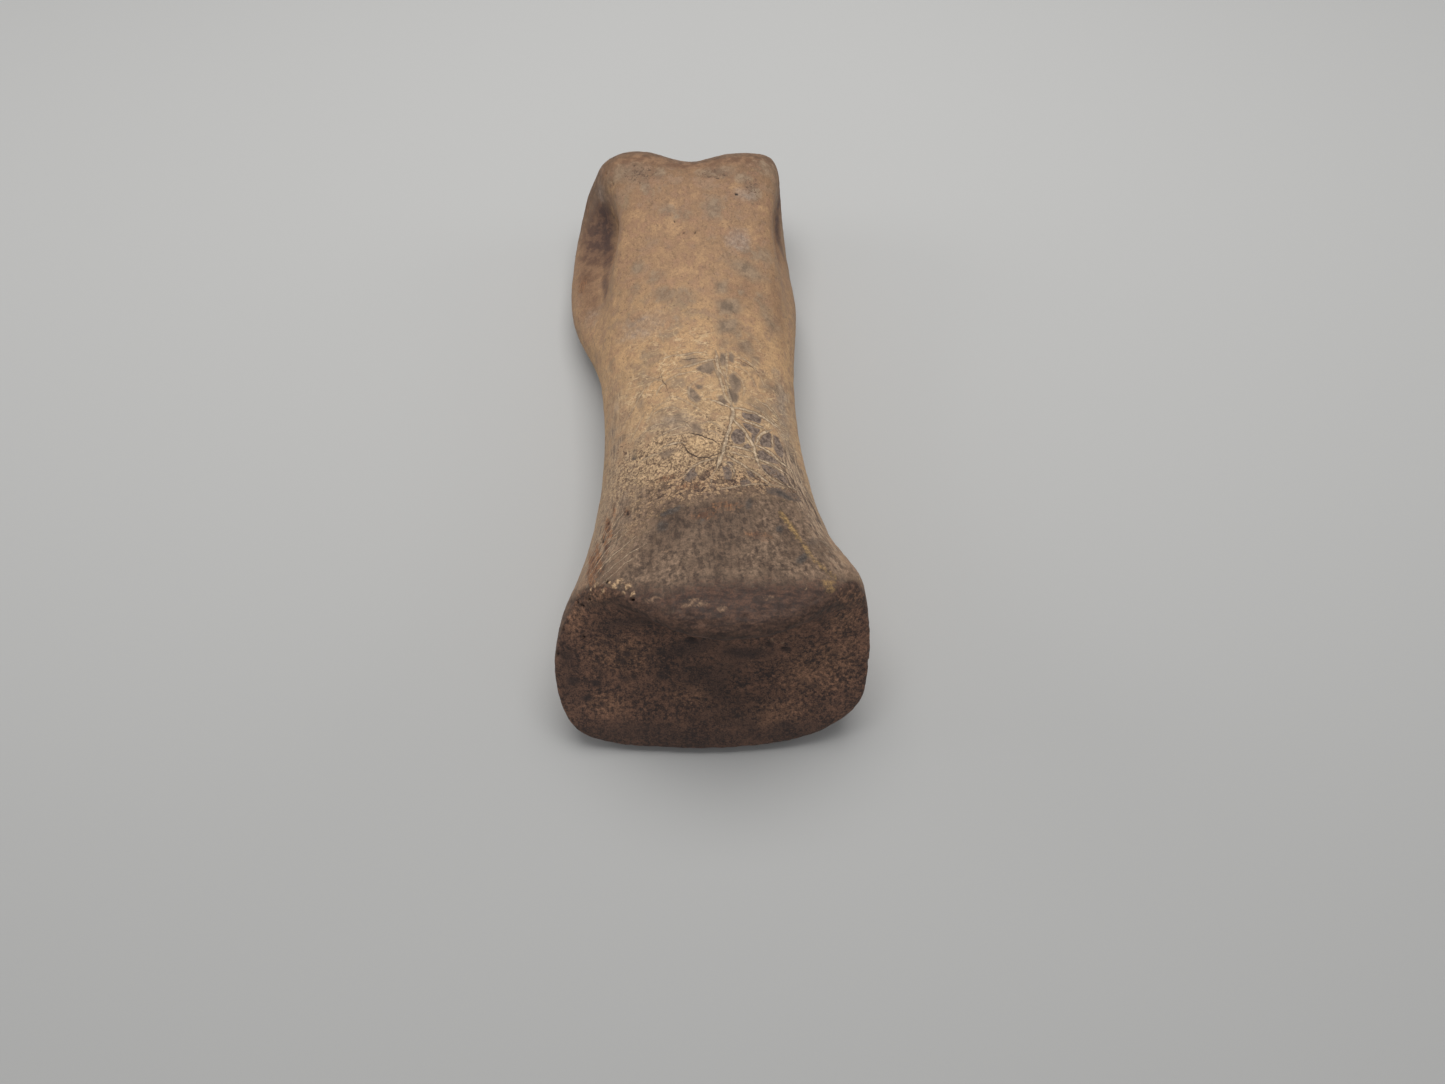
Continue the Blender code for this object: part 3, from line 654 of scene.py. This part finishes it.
# Fine shading of the whole bone: a grain, its span and the shades at the span's ends, and
# how strong the shading is on the far half and on the near one
SHADES = (
    ("along", 0.3, 0.7, 0.93, 1.07),
    ("speck", 0.25, 0.75, 0.84, 1.14),
    ("fine", 0.3, 0.7, 0.86, 1.14),
)
SHADE_STRENGTH = (0.8, 1.4)
ROUGHNESS = (0.55, 0.80)
SPECULAR = 0.35

# The finest relief: the weights of its grains, its strength and its depth
BUMPS = {"along": 0.5, "speck": 0.5, "fine": 1.0, "crumbly": 1.2}
BUMP_STRENGTH = 0.7
BUMP_DEPTH = 0.07 * MM

FLOOR_COLOUR = screen(190, 190, 189)
FLOOR_SIZE = 1.6
FLOOR_ROUGHNESS = 0.75
FLOOR_SPECULAR = 0.2

# Soft lights, in metres and watts: where one stands, where it points, its size and power
Light = namedtuple("Light", "name place towards size power")
LIGHTS = (
    Light("key", (0.008, 0.065, 0.23), (0.008, 0.09, 0.0), (0.20, 0.18), 0.46),
    Light("fill", (-0.02, -0.28, 0.06), (-0.02, -0.03, 0.01), (0.20, 0.10), 0.08),
    Light("left", (-0.24, 0.06, 0.10), (0.0, 0.01, 0.01), (0.12, 0.12), 0.105),
    Light("right", (0.24, 0.05, 0.10), (0.0, 0.01, 0.01), (0.12, 0.12), 0.07),
)
LIGHT_COLOUR = (1.0, 0.99, 0.97)
AIR_COLOUR = (0.95, 0.97, 1.0, 1.0)
AIR_STRENGTH = 0.26


def rise(low, high, values):
    """0 up to low, 1 from high on, smooth between."""
    share = np.clip((values - low) / (high - low), 0, 1)
    return share * share * (3 - 2 * share)


def lumps(places, size, octaves, seed):
    """Uneven heights, from about -1 to 1, with lumps of a size in millimetres."""
    scaled = (places / (np.array(size) * MM) + seed).tolist()
    return np.array([noise.fractal(place, 1.0, 2.0, octaves) for place in scaled])


def distance_to(places, targets):
    """Each place's distance from the nearest target."""
    tree = KDTree(len(targets))
    for i, target in enumerate(targets):
        tree.insert(target, i)
    tree.balance()
    return np.array([tree.find(place)[2] for place in places])


def place_camera():
    data = bpy.data.cameras.new("camera")
    data.sensor_width = SENSOR_WIDTH
    data.lens = SENSOR_WIDTH * FOCAL_PIXELS / PHOTO_WIDTH
    data.clip_start = CLIP_START
    data.clip_end = CLIP_END
    camera = bpy.data.objects.new("camera", data)
    camera.location = CAMERA_PLACE
    camera.rotation_euler = (math.pi / 2 - CAMERA_DOWN, 0, CAMERA_TURN)
    bpy.context.scene.collection.objects.link(camera)
    bpy.context.scene.camera = camera
    bpy.context.view_layer.update()
    return camera


class Bone:
    """The bone's skin while it is worked: its points, where they face, and their marks."""

    def __init__(self, mesh, camera):
        count = len(mesh.vertices)
        self.points = np.empty(count * 3)
        mesh.vertices.foreach_get("co", self.points)
        self.points = self.points.reshape(-1, 3)
        self.normals = np.empty(count * 3)
        mesh.vertex_normals.foreach_get("vector", self.normals)
        self.normals = self.normals.reshape(-1, 3)
        self.marks = {}
        self.turn = camera.matrix_world.to_3x3()
        shape = bmesh.new()
        shape.from_mesh(mesh)
        self.tree = BVHTree.FromBMesh(shape)
        shape.free()
        drift = [lumps(self.points, DRIFT_SIZE, 3, seed) for seed in DRIFT_SEEDS]
        self.drifted = self.points + np.stack(drift, axis=1) * DRIFT_REACH * MM

    def cast(self, pixel):
        """The point of the bone at a pixel of the photograph, and where it faces."""
        across = (pixel[0] - PHOTO_WIDTH / 2) / FOCAL_PIXELS
        up = (PHOTO_HEIGHT / 2 - pixel[1]) / FOCAL_PIXELS
        ray = self.turn @ Vector((across, up, -1.0))
        hit, normal, _, _ = self.tree.ray_cast(CAMERA_PLACE, ray.normalized())
        if hit is None:
            raise ValueError(f"the pixel {pixel} isn't on the bone")
        return np.array(hit), np.array(normal)

    def route(self, line):
        """A line's points on the bone in millimetres, with its corners cut twice."""
        route = np.array([self.cast(pixel)[0] for pixel in line.points])
        for _ in range(2):
            quarter = route[:-1] * 0.75 + route[1:] * 0.25
            three = route[:-1] * 0.25 + route[1:] * 0.75
            route = np.vstack([route[:1], np.stack([quarter, three], 1).reshape(-1, 3), route[-1:]])
        return route / MM

    def follow(self, line):
        """Each point's distance from a line, and its place across it in half widths."""
        route = self.route(line)
        places = self.drifted / MM
        inside = (places > route.min(axis=0) - LINE_MARGIN) & (places < route.max(axis=0) + LINE_MARGIN)
        near = np.where(inside.all(axis=1))[0]
        runs = np.diff(route, axis=0)
        lengths = np.linalg.norm(runs, axis=1)
        passed = np.concatenate([[0.0], np.cumsum(lengths)])
        nearest = np.full(len(near), np.inf)
        side = np.zeros(len(near))
        along = np.zeros(len(near))
        for i, run in enumerate(runs):
            from_start = places[near] - route[i]
            share = np.clip(from_start @ run / (run @ run), 0, 1)
            off = from_start - share[:, None] * run
            distance = np.linalg.norm(off, axis=1)
            closer = distance < nearest
            turn = np.sum(np.cross(run, off) * self.normals[near], axis=1)
            side[closer] = np.where(turn < 0, -1, 1)[closer]
            along[closer] = (passed[i] + share * lengths[i])[closer]
            nearest[closer] = distance[closer]
        to_end = np.minimum(along, passed[-1] - along)
        half = line.width / 2 * (LINE_END + (1 - LINE_END) * rise(0.0, LINE_TAPER, to_end))
        away = np.full(len(self.points), np.inf)
        across = np.full(len(self.points), LINE_SIDES)
        away[near] = nearest - line.width / 2
        across[near] = np.clip(side * nearest / half, -LINE_SIDES, LINE_SIDES)
        return away, across

    def lay_lines(self, name, lines):
        """Lays lines in sets, whose lines keep clear of each other. Returns how many."""
        sets = []
        for line in lines:
            away, across = self.follow(line)
            close = away < LINE_APART
            free = [placed for placed in sets if not (close & (placed[0] < LINE_APART)).any()]
            if not free:
                free = [[np.full(len(away), np.inf), np.full(len(away), LINE_SIDES),
                         np.zeros(len(away))]]
                sets += free
            placed = free[0]
            closer = away < placed[0]
            placed[0][closer] = away[closer]
            placed[1][closer] = across[closer]
            placed[2][closer] = (line.strength * (1 - rise(*LINE_REACH, away)))[closer]
        whole = np.zeros(len(self.points))
        for i, (away, across, reach) in enumerate(sets):
            self.marks[f"{name}_across_{i}"] = across
            self.marks[f"{name}_reach_{i}"] = reach
            whole = np.maximum(whole, reach * (1 - rise(0.3, 1.4, np.abs(across))))
        self.marks[name] = whole
        return len(sets)

    def band(self, line):
        """A line's strength over its width, fading at its edges."""
        away, _ = self.follow(line)
        return line.strength * (1 - rise(-0.3 * line.width, 0.3 * line.width, away))

    def region(self, region):
        """A region's strength inside its outline, fading over its soft edge."""
        outline = np.array([self.cast(pixel)[0] for pixel in region.points])[:, :2]
        plan = self.drifted[:, :2]
        away = np.full(len(plan), np.inf)
        inside = np.zeros(len(plan), bool)
        for start, end in zip(outline, np.roll(outline, -1, axis=0)):
            run = end - start
            from_start = plan - start
            share = np.clip(from_start @ run / (run @ run), 0, 1)
            away = np.minimum(away, np.linalg.norm(from_start - share[:, None] * run, axis=1))
            spans = (start[1] > plan[:, 1]) != (end[1] > plan[:, 1])
            crossing = start[0] + (plan[:, 1] - start[1]) * run[0] / (run[1] or 1e-12)
            inside ^= spans & (plan[:, 0] < crossing)
        signed = np.where(inside, away, -away)
        upward = rise(0.0, 0.3, self.normals[:, 2])
        return region.strength * np.clip(0.5 + signed / (region.soft * MM), 0, 1) * upward

    def spot(self, spot):
        """A spot's strength at its middle, fading to 0."""
        middle, normal = self.cast(spot.point)
        across = np.array((1.0, 0, 0)) - normal * normal[0]
        across /= np.linalg.norm(across)
        up = np.cross(normal, across)
        away = (self.drifted - middle) / MM
        right, rise_up, out = away @ across, away @ up, away @ normal
        turn = math.radians(spot.turn)
        first = (right * math.cos(turn) - rise_up * math.sin(turn)) / spot.across
        second = (right * math.sin(turn) + rise_up * math.cos(turn)) / spot.up
        third = out / (2 * max(spot.across, spot.up))
        return spot.strength * (1 - rise(0.3, 1.3, np.sqrt(first**2 + second**2 + third**2)))

    def mark(self, name, shapes):
        """Lays several shapes over each other as one mark."""
        draw = {Line: self.band, Region: self.region, Spot: self.spot}
        self.marks[name] = np.maximum.reduce([draw[type(shape)](shape) for shape in shapes])


def mark_parts(bone):
    """The marks that follow from where a point lies and faces."""
    x, y, z = bone.points.T
    faces_near = -bone.normals[:, 1]
    near = 1 - rise(*NEAR_END, y)
    above = rise(*LIP_FADE, z - np.interp(x, LIP_ACROSS, LIP_EDGE))
    lip = near * above * rise(*LIP_FACING, faces_near)
    joint_face = near * rise(*JOINT_FACING, faces_near) * (1 - above)
    to_joint = distance_to(bone.points, bone.points[joint_face > 0.5])
    middle, spread = RIM_FACING
    bone.marks.update({
        "whole": np.ones(len(y)),
        "lip": lip,
        "joint_face": joint_face,
        "shaft": (1 - joint_face) * (1 - lip),
        "end_rim": RIM_STRENGTH * (1 - rise(*RIM_STAIN, to_joint)),
        "rim": near * np.exp(-(((faces_near - middle) / spread) ** 2)),
        # The far joint's surface, turned away from the near end: partly its own brown, partly painted
        # shade along the far rim
        "pulley": rise(*PULLEY_SURFACE, y) * rise(*PULLEY_FACING, bone.normals[:, 1]),
        "crisp": 1 - rise(*CRISP, y),
        "underside": UNDERSIDE_STRENGTH * rise(*UNDERSIDE_FACING, -bone.normals[:, 2]) * (1 - joint_face),
    })


def mark_photo(bone):
    """The marks that the photograph shows."""
    bone.trace_sets = bone.lay_lines("trace", TRACES)
    bone.crack_sets = bone.lay_lines("crack", CRACKS)
    bone.mark("cell", CELLS)
    for name, shapes in MARKINGS.items():
        bone.mark(name, shapes)
    crumbs = lumps(bone.points, *CRUMB_LUMPS)
    zone = bone.region(CRUMBS)
    raised = CRUMB_STRENGTH * zone * rise(*CRUMB_SPAN, crumbs)
    bone.marks["cream"] = np.maximum(bone.marks["cream"], raised)
    bone.marks["gap"] = GAP_STRENGTH * zone * (1 - rise(*GAP_SPAN, crumbs))


def flow_along(bone):
    """Places measured along the bone's own outline, so that its fibres follow it."""
    x, y, z = bone.points.T
    stops = np.linspace(y.min(), y.max(), FLOW_CUTS + 1)
    cut = np.clip(np.digitize(y, stops) - 1, 0, FLOW_CUTS - 1)
    half = np.array([np.abs(x[cut == i]).max() for i in range(FLOW_CUTS)])
    tall = np.array([z[cut == i].max() for i in range(FLOW_CUTS)])
    middles = (stops[:-1] + stops[1:]) / 2
    wide = np.interp(y, middles, half)
    high = np.interp(y, middles, tall)
    return np.stack([x / wide * FLOW_HALF_WIDTH, y, z / high * FLOW_HEIGHT], axis=1)


def layer_height(bone, layer, places):
    """The height of one uneven layer of the skin, in millimetres."""
    return layer.push * lumps(places, layer.size, layer.octaves, layer.seed) * bone.marks[layer.mark]


def work_relief(bone):
    """Moves the skin's points out and in: lumps, fibres, chips and the marks' own relief."""
    marks = bone.marks
    height = sum(layer_height(bone, layer, bone.points) for layer in LAYERS)
    push = FIBRE_PUSH + WEATHERED_PUSH * marks["weathered"]
    height += push * layer_height(bone, FIBRES, bone.flow)
    chips = lumps(bone.points, CHIPS.size, CHIPS.octaves, CHIPS.seed)
    chipped = rise(*CHIP_SPAN, chips) * marks[CHIPS.mark]
    height += CHIPS.push * chipped * (1 - LIP_SPARED * marks["lip"])
    for name, push in RELIEF.items():
        height += push * marks[name]
    bone.points += bone.normals * height[:, None] * MM
    bone.points = np.clip(bone.points, np.array(cad_low), np.array(cad_high))


def skin_of(node):
    """The solid's surface as one smooth skin of quads."""
    work = bmesh.new()
    work.from_mesh(node.data)
    bmesh.ops.remove_doubles(work, verts=work.verts[:], dist=MERGE_DISTANCE)
    bmesh.ops.join_triangles(work, faces=work.faces[:], angle_face_threshold=QUAD_FACE_ANGLE,
                             angle_shape_threshold=QUAD_SHAPE_ANGLE)
    cage = bpy.data.meshes.new("bone_cage")
    work.to_mesh(cage)
    work.free()
    holder = bpy.data.objects.new("bone_cage", cage)
    bpy.context.scene.collection.objects.link(holder)
    smooth = holder.modifiers.new("smooth", "SUBSURF")
    smooth.levels = smooth.render_levels = SKIN_LEVELS
    graph = bpy.context.evaluated_depsgraph_get()
    skin = bpy.data.meshes.new_from_object(holder.evaluated_get(graph))
    bpy.data.objects.remove(holder)
    return skin


def divide_patches(skin):
    """Divides the skin once more in the patches that carry the smallest forms."""
    work = bmesh.new()
    work.from_mesh(skin)
    fine = set()
    for face in work.faces:
        middle = face.calc_center_median()
        for patch in FINE_PATCHES:
            if all(patch.low[i] < middle[i] < patch.high[i] for i in range(3)):
                fine.update(face.edges)
    bmesh.ops.subdivide_edges(work, edges=list(fine), cuts=1, use_grid_fill=True)
    work.to_mesh(skin)
    work.free()


def make_bone(camera):
    skin = skin_of(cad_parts["toe_bone"])
    divide_patches(skin)
    bone = Bone(skin, camera)
    mark_parts(bone)
    mark_photo(bone)
    bone.flow = flow_along(bone)
    work_relief(bone)
    skin.vertices.foreach_set("co", bone.points.ravel())
    for name in sorted(set(bone.marks) - RELIEF_ONLY):
        layer = skin.attributes.new(name, "FLOAT", "POINT")
        layer.data.foreach_set("value", bone.marks[name].astype(np.float32))
    layer = skin.attributes.new("flow", "FLOAT_VECTOR", "POINT")
    layer.data.foreach_set("vector", bone.flow.astype(np.float32).ravel())
    skin.update()
    skin.shade_smooth()
    skin.name = "bone"
    made = bpy.data.objects.new("bone", skin)
    made.data.materials.append(bone_material(bone.trace_sets, bone.crack_sets))
    bpy.context.scene.collection.objects.link(made)
    return made


class Wiring:
    """Adds nodes to a material and joins them."""

    def __init__(self, material):
        self.tree = material.node_tree

    def node(self, kind, inputs=(), **settings):
        made = self.tree.nodes.new(kind)
        for name, value in settings.items():
            setattr(made, name, value)
        for name, value in dict(inputs).items():
            self.feed(made.inputs[name], value)
        return made

    def feed(self, socket, value):
        """Gives a socket a link or a plain value."""
        if isinstance(value, bpy.types.NodeSocket):
            self.tree.links.new(value, socket)
        else:
            socket.default_value = value

    def place(self):
        return self.node("ShaderNodeTexCoord").outputs["Object"]

    def attribute(self, name, output="Fac"):
        return self.node("ShaderNodeAttribute", attribute_name=name).outputs[output]

    def noise(self, vector, size, detail, roughness=0.5, distortion=0.0):
        return self.node("ShaderNodeTexNoise", {
            "Vector": vector, "Scale": 1 / size, "Detail": detail, "Roughness": roughness,
            "Distortion": distortion}).outputs["Fac"]

    def cells(self, vector, size):
        """How far a place is from the edges of a broken pattern of cells, and a tone a cell."""
        inputs = {"Vector": vector, "Scale": 1 / size}
        to_edge = self.node("ShaderNodeTexVoronoi", inputs, feature="DISTANCE_TO_EDGE")
        whole = self.node("ShaderNodeTexVoronoi", inputs, feature="F1")
        tone = self.node("ShaderNodeSeparateColor", {"Color": whole.outputs["Color"]})
        return to_edge.outputs["Distance"], tone.outputs["Red"]

    def stretched(self, vector, scale):
        return self.node("ShaderNodeMapping", {"Vector": vector, "Scale": scale}).outputs["Vector"]

    def warped(self, vector, size, reach):
        """A vector pushed about by a noise."""
        push = self.node("ShaderNodeTexNoise", {"Vector": vector, "Scale": 1 / size, "Detail": 2.0})
        centred = self.node("ShaderNodeVectorMath", {
            0: push.outputs["Color"], 1: (0.5, 0.5, 0.5)}, operation="SUBTRACT").outputs["Vector"]
        return self.node("ShaderNodeVectorMath", {
            0: centred, 1: (reach,) * 3, 2: vector}, operation="MULTIPLY_ADD").outputs["Vector"]

    def blend(self, share, first, second):
        made = self.node("ShaderNodeMix", data_type="RGBA", clamp_factor=True)
        for i, value in ((0, share), (6, first), (7, second)):
            self.feed(made.inputs[i], value)
        return made.outputs[2]

    def sum(self, how, *values):
        return self.node("ShaderNodeMath", enumerate(values), operation=how).outputs[0]

    def mixed(self, grains, weights):
        """The weighted sum of several grains."""
        total = 0.0
        for name, weight in weights.items():
            total = self.sum("MULTIPLY_ADD", grains[name], weight, total)
        return total

    def span(self, value, low, high, to_low=0.0, to_high=1.0):
        return self.node("ShaderNodeMapRange", {
            "Value": value, "From Min": low, "From Max": high, "To Min": to_low,
            "To Max": to_high}, interpolation_type="SMOOTHSTEP").outputs["Result"]

    def ramp(self, value, tones):
        made = self.node("ShaderNodeValToRGB", {"Fac": value})
        marks = made.color_ramp.elements
        marks[0].position, marks[0].color = tones[0]
        marks[1].position, marks[1].color = tones[-1]
        for place, colour in tones[1:-1]:
            marks.new(place).color = colour
        return made.outputs["Color"]


def bone_grains(wiring):
    """The bone's grains by name, each a noise from 0 to 1 round 0.5."""
    spaces = {"place": wiring.place(), "flow": wiring.attribute("flow", "Vector")}
    grains = {}
    for name, grain in GRAINS.items():
        vector = spaces[grain.space]
        if grain.stretch:
            vector = wiring.stretched(vector, grain.stretch)
        grains[name] = wiring.noise(vector, grain.size, grain.detail, grain.rough, grain.distortion)
    to_edge, tones = wiring.cells(wiring.warped(spaces["place"], *FLAKE_WARP), FLAKE_SIZE)
    grains["flakes"] = wiring.sum("MULTIPLY", tones, wiring.span(to_edge, 0.0, FLAKE_EDGE))
    for name, weights in MIXES.items():
        grains[name] = wiring.mixed(grains, weights)
    return grains


def stain_tone(wiring, grains, stain):
    """A stain's two colours, mixed by its grain."""
    share = wiring.span(grains[stain.grain], *TONE_SPAN)
    return wiring.blend(share, screen(*stain.dark), screen(*stain.light))


def stain_over(wiring, grains, colour, stain):
    """Lays a stain over a colour, by its mask and with its ragged edge."""
    mask = wiring.attribute(stain.name)
    shaken = wiring.sum("MULTIPLY_ADD", wiring.sum("SUBTRACT", grains[stain.edge], 0.5),
                        stain.ragged * 2, mask)
    edge = wiring.span(shaken, 0.5 - stain.soft / 2, 0.5 + stain.soft / 2)
    share = wiring.sum("MULTIPLY", edge, wiring.span(mask, 0.0, 0.2))
    return wiring.blend(share, colour, stain_tone(wiring, grains, stain))


def lines_over(wiring, grains, colour, stain, sets, grooves):
    """Draws the lines of every set over a colour, between thin dark grooves."""
    core = 0.0
    rim = 0.0
    for i in range(sets):
        across = wiring.sum("ABSOLUTE", wiring.attribute(f"{stain.name}_across_{i}"))
        reach = wiring.attribute(f"{stain.name}_reach_{i}")
        inner = wiring.sum("MULTIPLY", wiring.span(across, *LINE_CORE), reach)
        outer = wiring.sum("MULTIPLY", wiring.span(across, *GROOVE_EDGE), reach)
        core = wiring.sum("MAXIMUM", inner, core)
        rim = wiring.sum("MAXIMUM", outer, rim)
    if grooves:
        colour = wiring.blend(wiring.sum("MULTIPLY", rim, grooves), colour, GROOVE)
    return wiring.blend(core, colour, stain_tone(wiring, grains, stain))


def ground_colour(wiring, grains):
    """The bare bone: its tone along its length, darkest at the far rim partly as painted shade, clouds and
    freckles.
    """
    place = wiring.place()
    along = wiring.node("ShaderNodeSeparateXYZ", {"Vector": place}).outputs["Y"]
    length = wiring.node("ShaderNodeMapRange", {
        "Value": along, "From Min": cad_low.y, "From Max": cad_high.y}).outputs["Result"]
    centred = wiring.sum("SUBTRACT", grains["coarse"], 0.5)
    colour = wiring.ramp(wiring.sum("MULTIPLY_ADD", centred, TONE_WAVER, length), BONE_TONES)
    for cloud, grain, low, high, strength in CLOUDS:
        colour = wiring.blend(wiring.span(grains[grain], low, high, 0.0, strength), colour, cloud)
    for size, strength in FRECKLES:
        freckles = wiring.noise(wiring.stretched(place, FRECKLE_STRETCH), size, 2.0)
        colour = wiring.blend(wiring.span(freckles, *FRECKLE_SPAN, 0.0, strength), colour, FRECKLE)
    return colour


def etched_net(wiring, colour):
    """The faint curved lines that fine roots left, light ones and dark ones."""
    flow = wiring.warped(wiring.attribute("flow", "Vector"), *NET_WARP)
    net = wiring.attribute("net")
    patches = wiring.span(wiring.noise(flow, NET_PATCH, 2.0, 0.55), *NET_PATCH_SPAN)
    for stretch, size, tone, width, strength in NET_LINES:
        waves = wiring.noise(wiring.stretched(flow, stretch), size, 1.0)
        off = wiring.sum("ABSOLUTE", wiring.sum("SUBTRACT", waves, 0.5))
        line = wiring.sum("MULTIPLY", wiring.span(off, width, width * 0.25, 0.0, strength), net)
        colour = wiring.blend(wiring.sum("MULTIPLY", line, patches), colour, tone)
    return colour


def fine_shade(wiring, grains):
    """How much darker or lighter the finest grain makes a place, round 1."""
    grain = 1.0
    for name, *spans in SHADES:
        grain = wiring.sum("MULTIPLY", wiring.span(grains[name], *spans), grain)
    strength = wiring.span(wiring.attribute("crisp"), 0.0, 1.0, *SHADE_STRENGTH)
    return wiring.sum("MULTIPLY_ADD", wiring.sum("SUBTRACT", grain, 1.0), strength, 1.0)


def bone_material(trace_sets, crack_sets):
    material = bpy.data.materials.new("fossil_bone")
    material.use_nodes = True
    wiring = Wiring(material)
    shader = material.node_tree.nodes["Principled BSDF"]
    grains = bone_grains(wiring)

    colour = ground_colour(wiring, grains)
    for stain in GROUND_STAINS:
        colour = stain_over(wiring, grains, colour, stain)
    colour = etched_net(wiring, colour)
    for stain in MARK_STAINS:
        colour = stain_over(wiring, grains, colour, stain)
    colour = lines_over(wiring, grains, colour, TRACE, trace_sets, TRACE_GROOVES)
    colour = lines_over(wiring, grains, colour, CRACK, crack_sets, 0.0)
    shaded = wiring.node("ShaderNodeVectorMath", {0: colour, "Scale": fine_shade(wiring, grains)},
                         operation="SCALE")
    wiring.feed(shader.inputs["Base Color"], shaded.outputs["Vector"])
    wiring.feed(shader.inputs["Roughness"], wiring.span(grains["fine"], 0.2, 0.8, *ROUGHNESS))
    wiring.feed(shader.inputs["Specular IOR Level"], SPECULAR)

    grains["crumbly"] = wiring.sum("MULTIPLY", grains["crumb"], wiring.attribute("golden"))
    bump = wiring.node("ShaderNodeBump", {
        "Height": wiring.mixed(grains, BUMPS), "Strength": BUMP_STRENGTH, "Distance": BUMP_DEPTH})
    wiring.feed(shader.inputs["Normal"], bump.outputs["Normal"])
    return material


def make_floor():
    work = bmesh.new()
    bmesh.ops.create_grid(work, x_segments=1, y_segments=1, size=FLOOR_SIZE / 2)
    mesh = bpy.data.meshes.new("floor")
    work.to_mesh(mesh)
    work.free()
    material = bpy.data.materials.new("floor")
    material.use_nodes = True
    shader = material.node_tree.nodes["Principled BSDF"]
    shader.inputs["Base Color"].default_value = FLOOR_COLOUR
    shader.inputs["Roughness"].default_value = FLOOR_ROUGHNESS
    shader.inputs["Specular IOR Level"].default_value = FLOOR_SPECULAR
    mesh.materials.append(material)
    floor = bpy.data.objects.new("floor", mesh)
    bpy.context.scene.collection.objects.link(floor)


def light_studio():
    world = bpy.data.worlds.new("studio")
    bpy.context.scene.world = world
    world.use_nodes = True
    background = world.node_tree.nodes["Background"]
    background.inputs["Color"].default_value = AIR_COLOUR
    background.inputs["Strength"].default_value = AIR_STRENGTH
    for soft in LIGHTS:
        data = bpy.data.lights.new(soft.name, "AREA")
        data.shape = "RECTANGLE"
        data.size, data.size_y = soft.size
        data.energy = soft.power
        data.color = LIGHT_COLOUR
        light = bpy.data.objects.new(soft.name, data)
        light.location = soft.place
        aim = Vector(soft.towards) - Vector(soft.place)
        light.rotation_euler = aim.to_track_quat("-Z", "Y").to_euler()
        bpy.context.scene.collection.objects.link(light)


camera = place_camera()
bone = make_bone(camera)
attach(bone, "root")
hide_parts("toe_bone")
make_floor()
light_studio()
bpy.context.scene.view_settings.view_transform = "Standard"
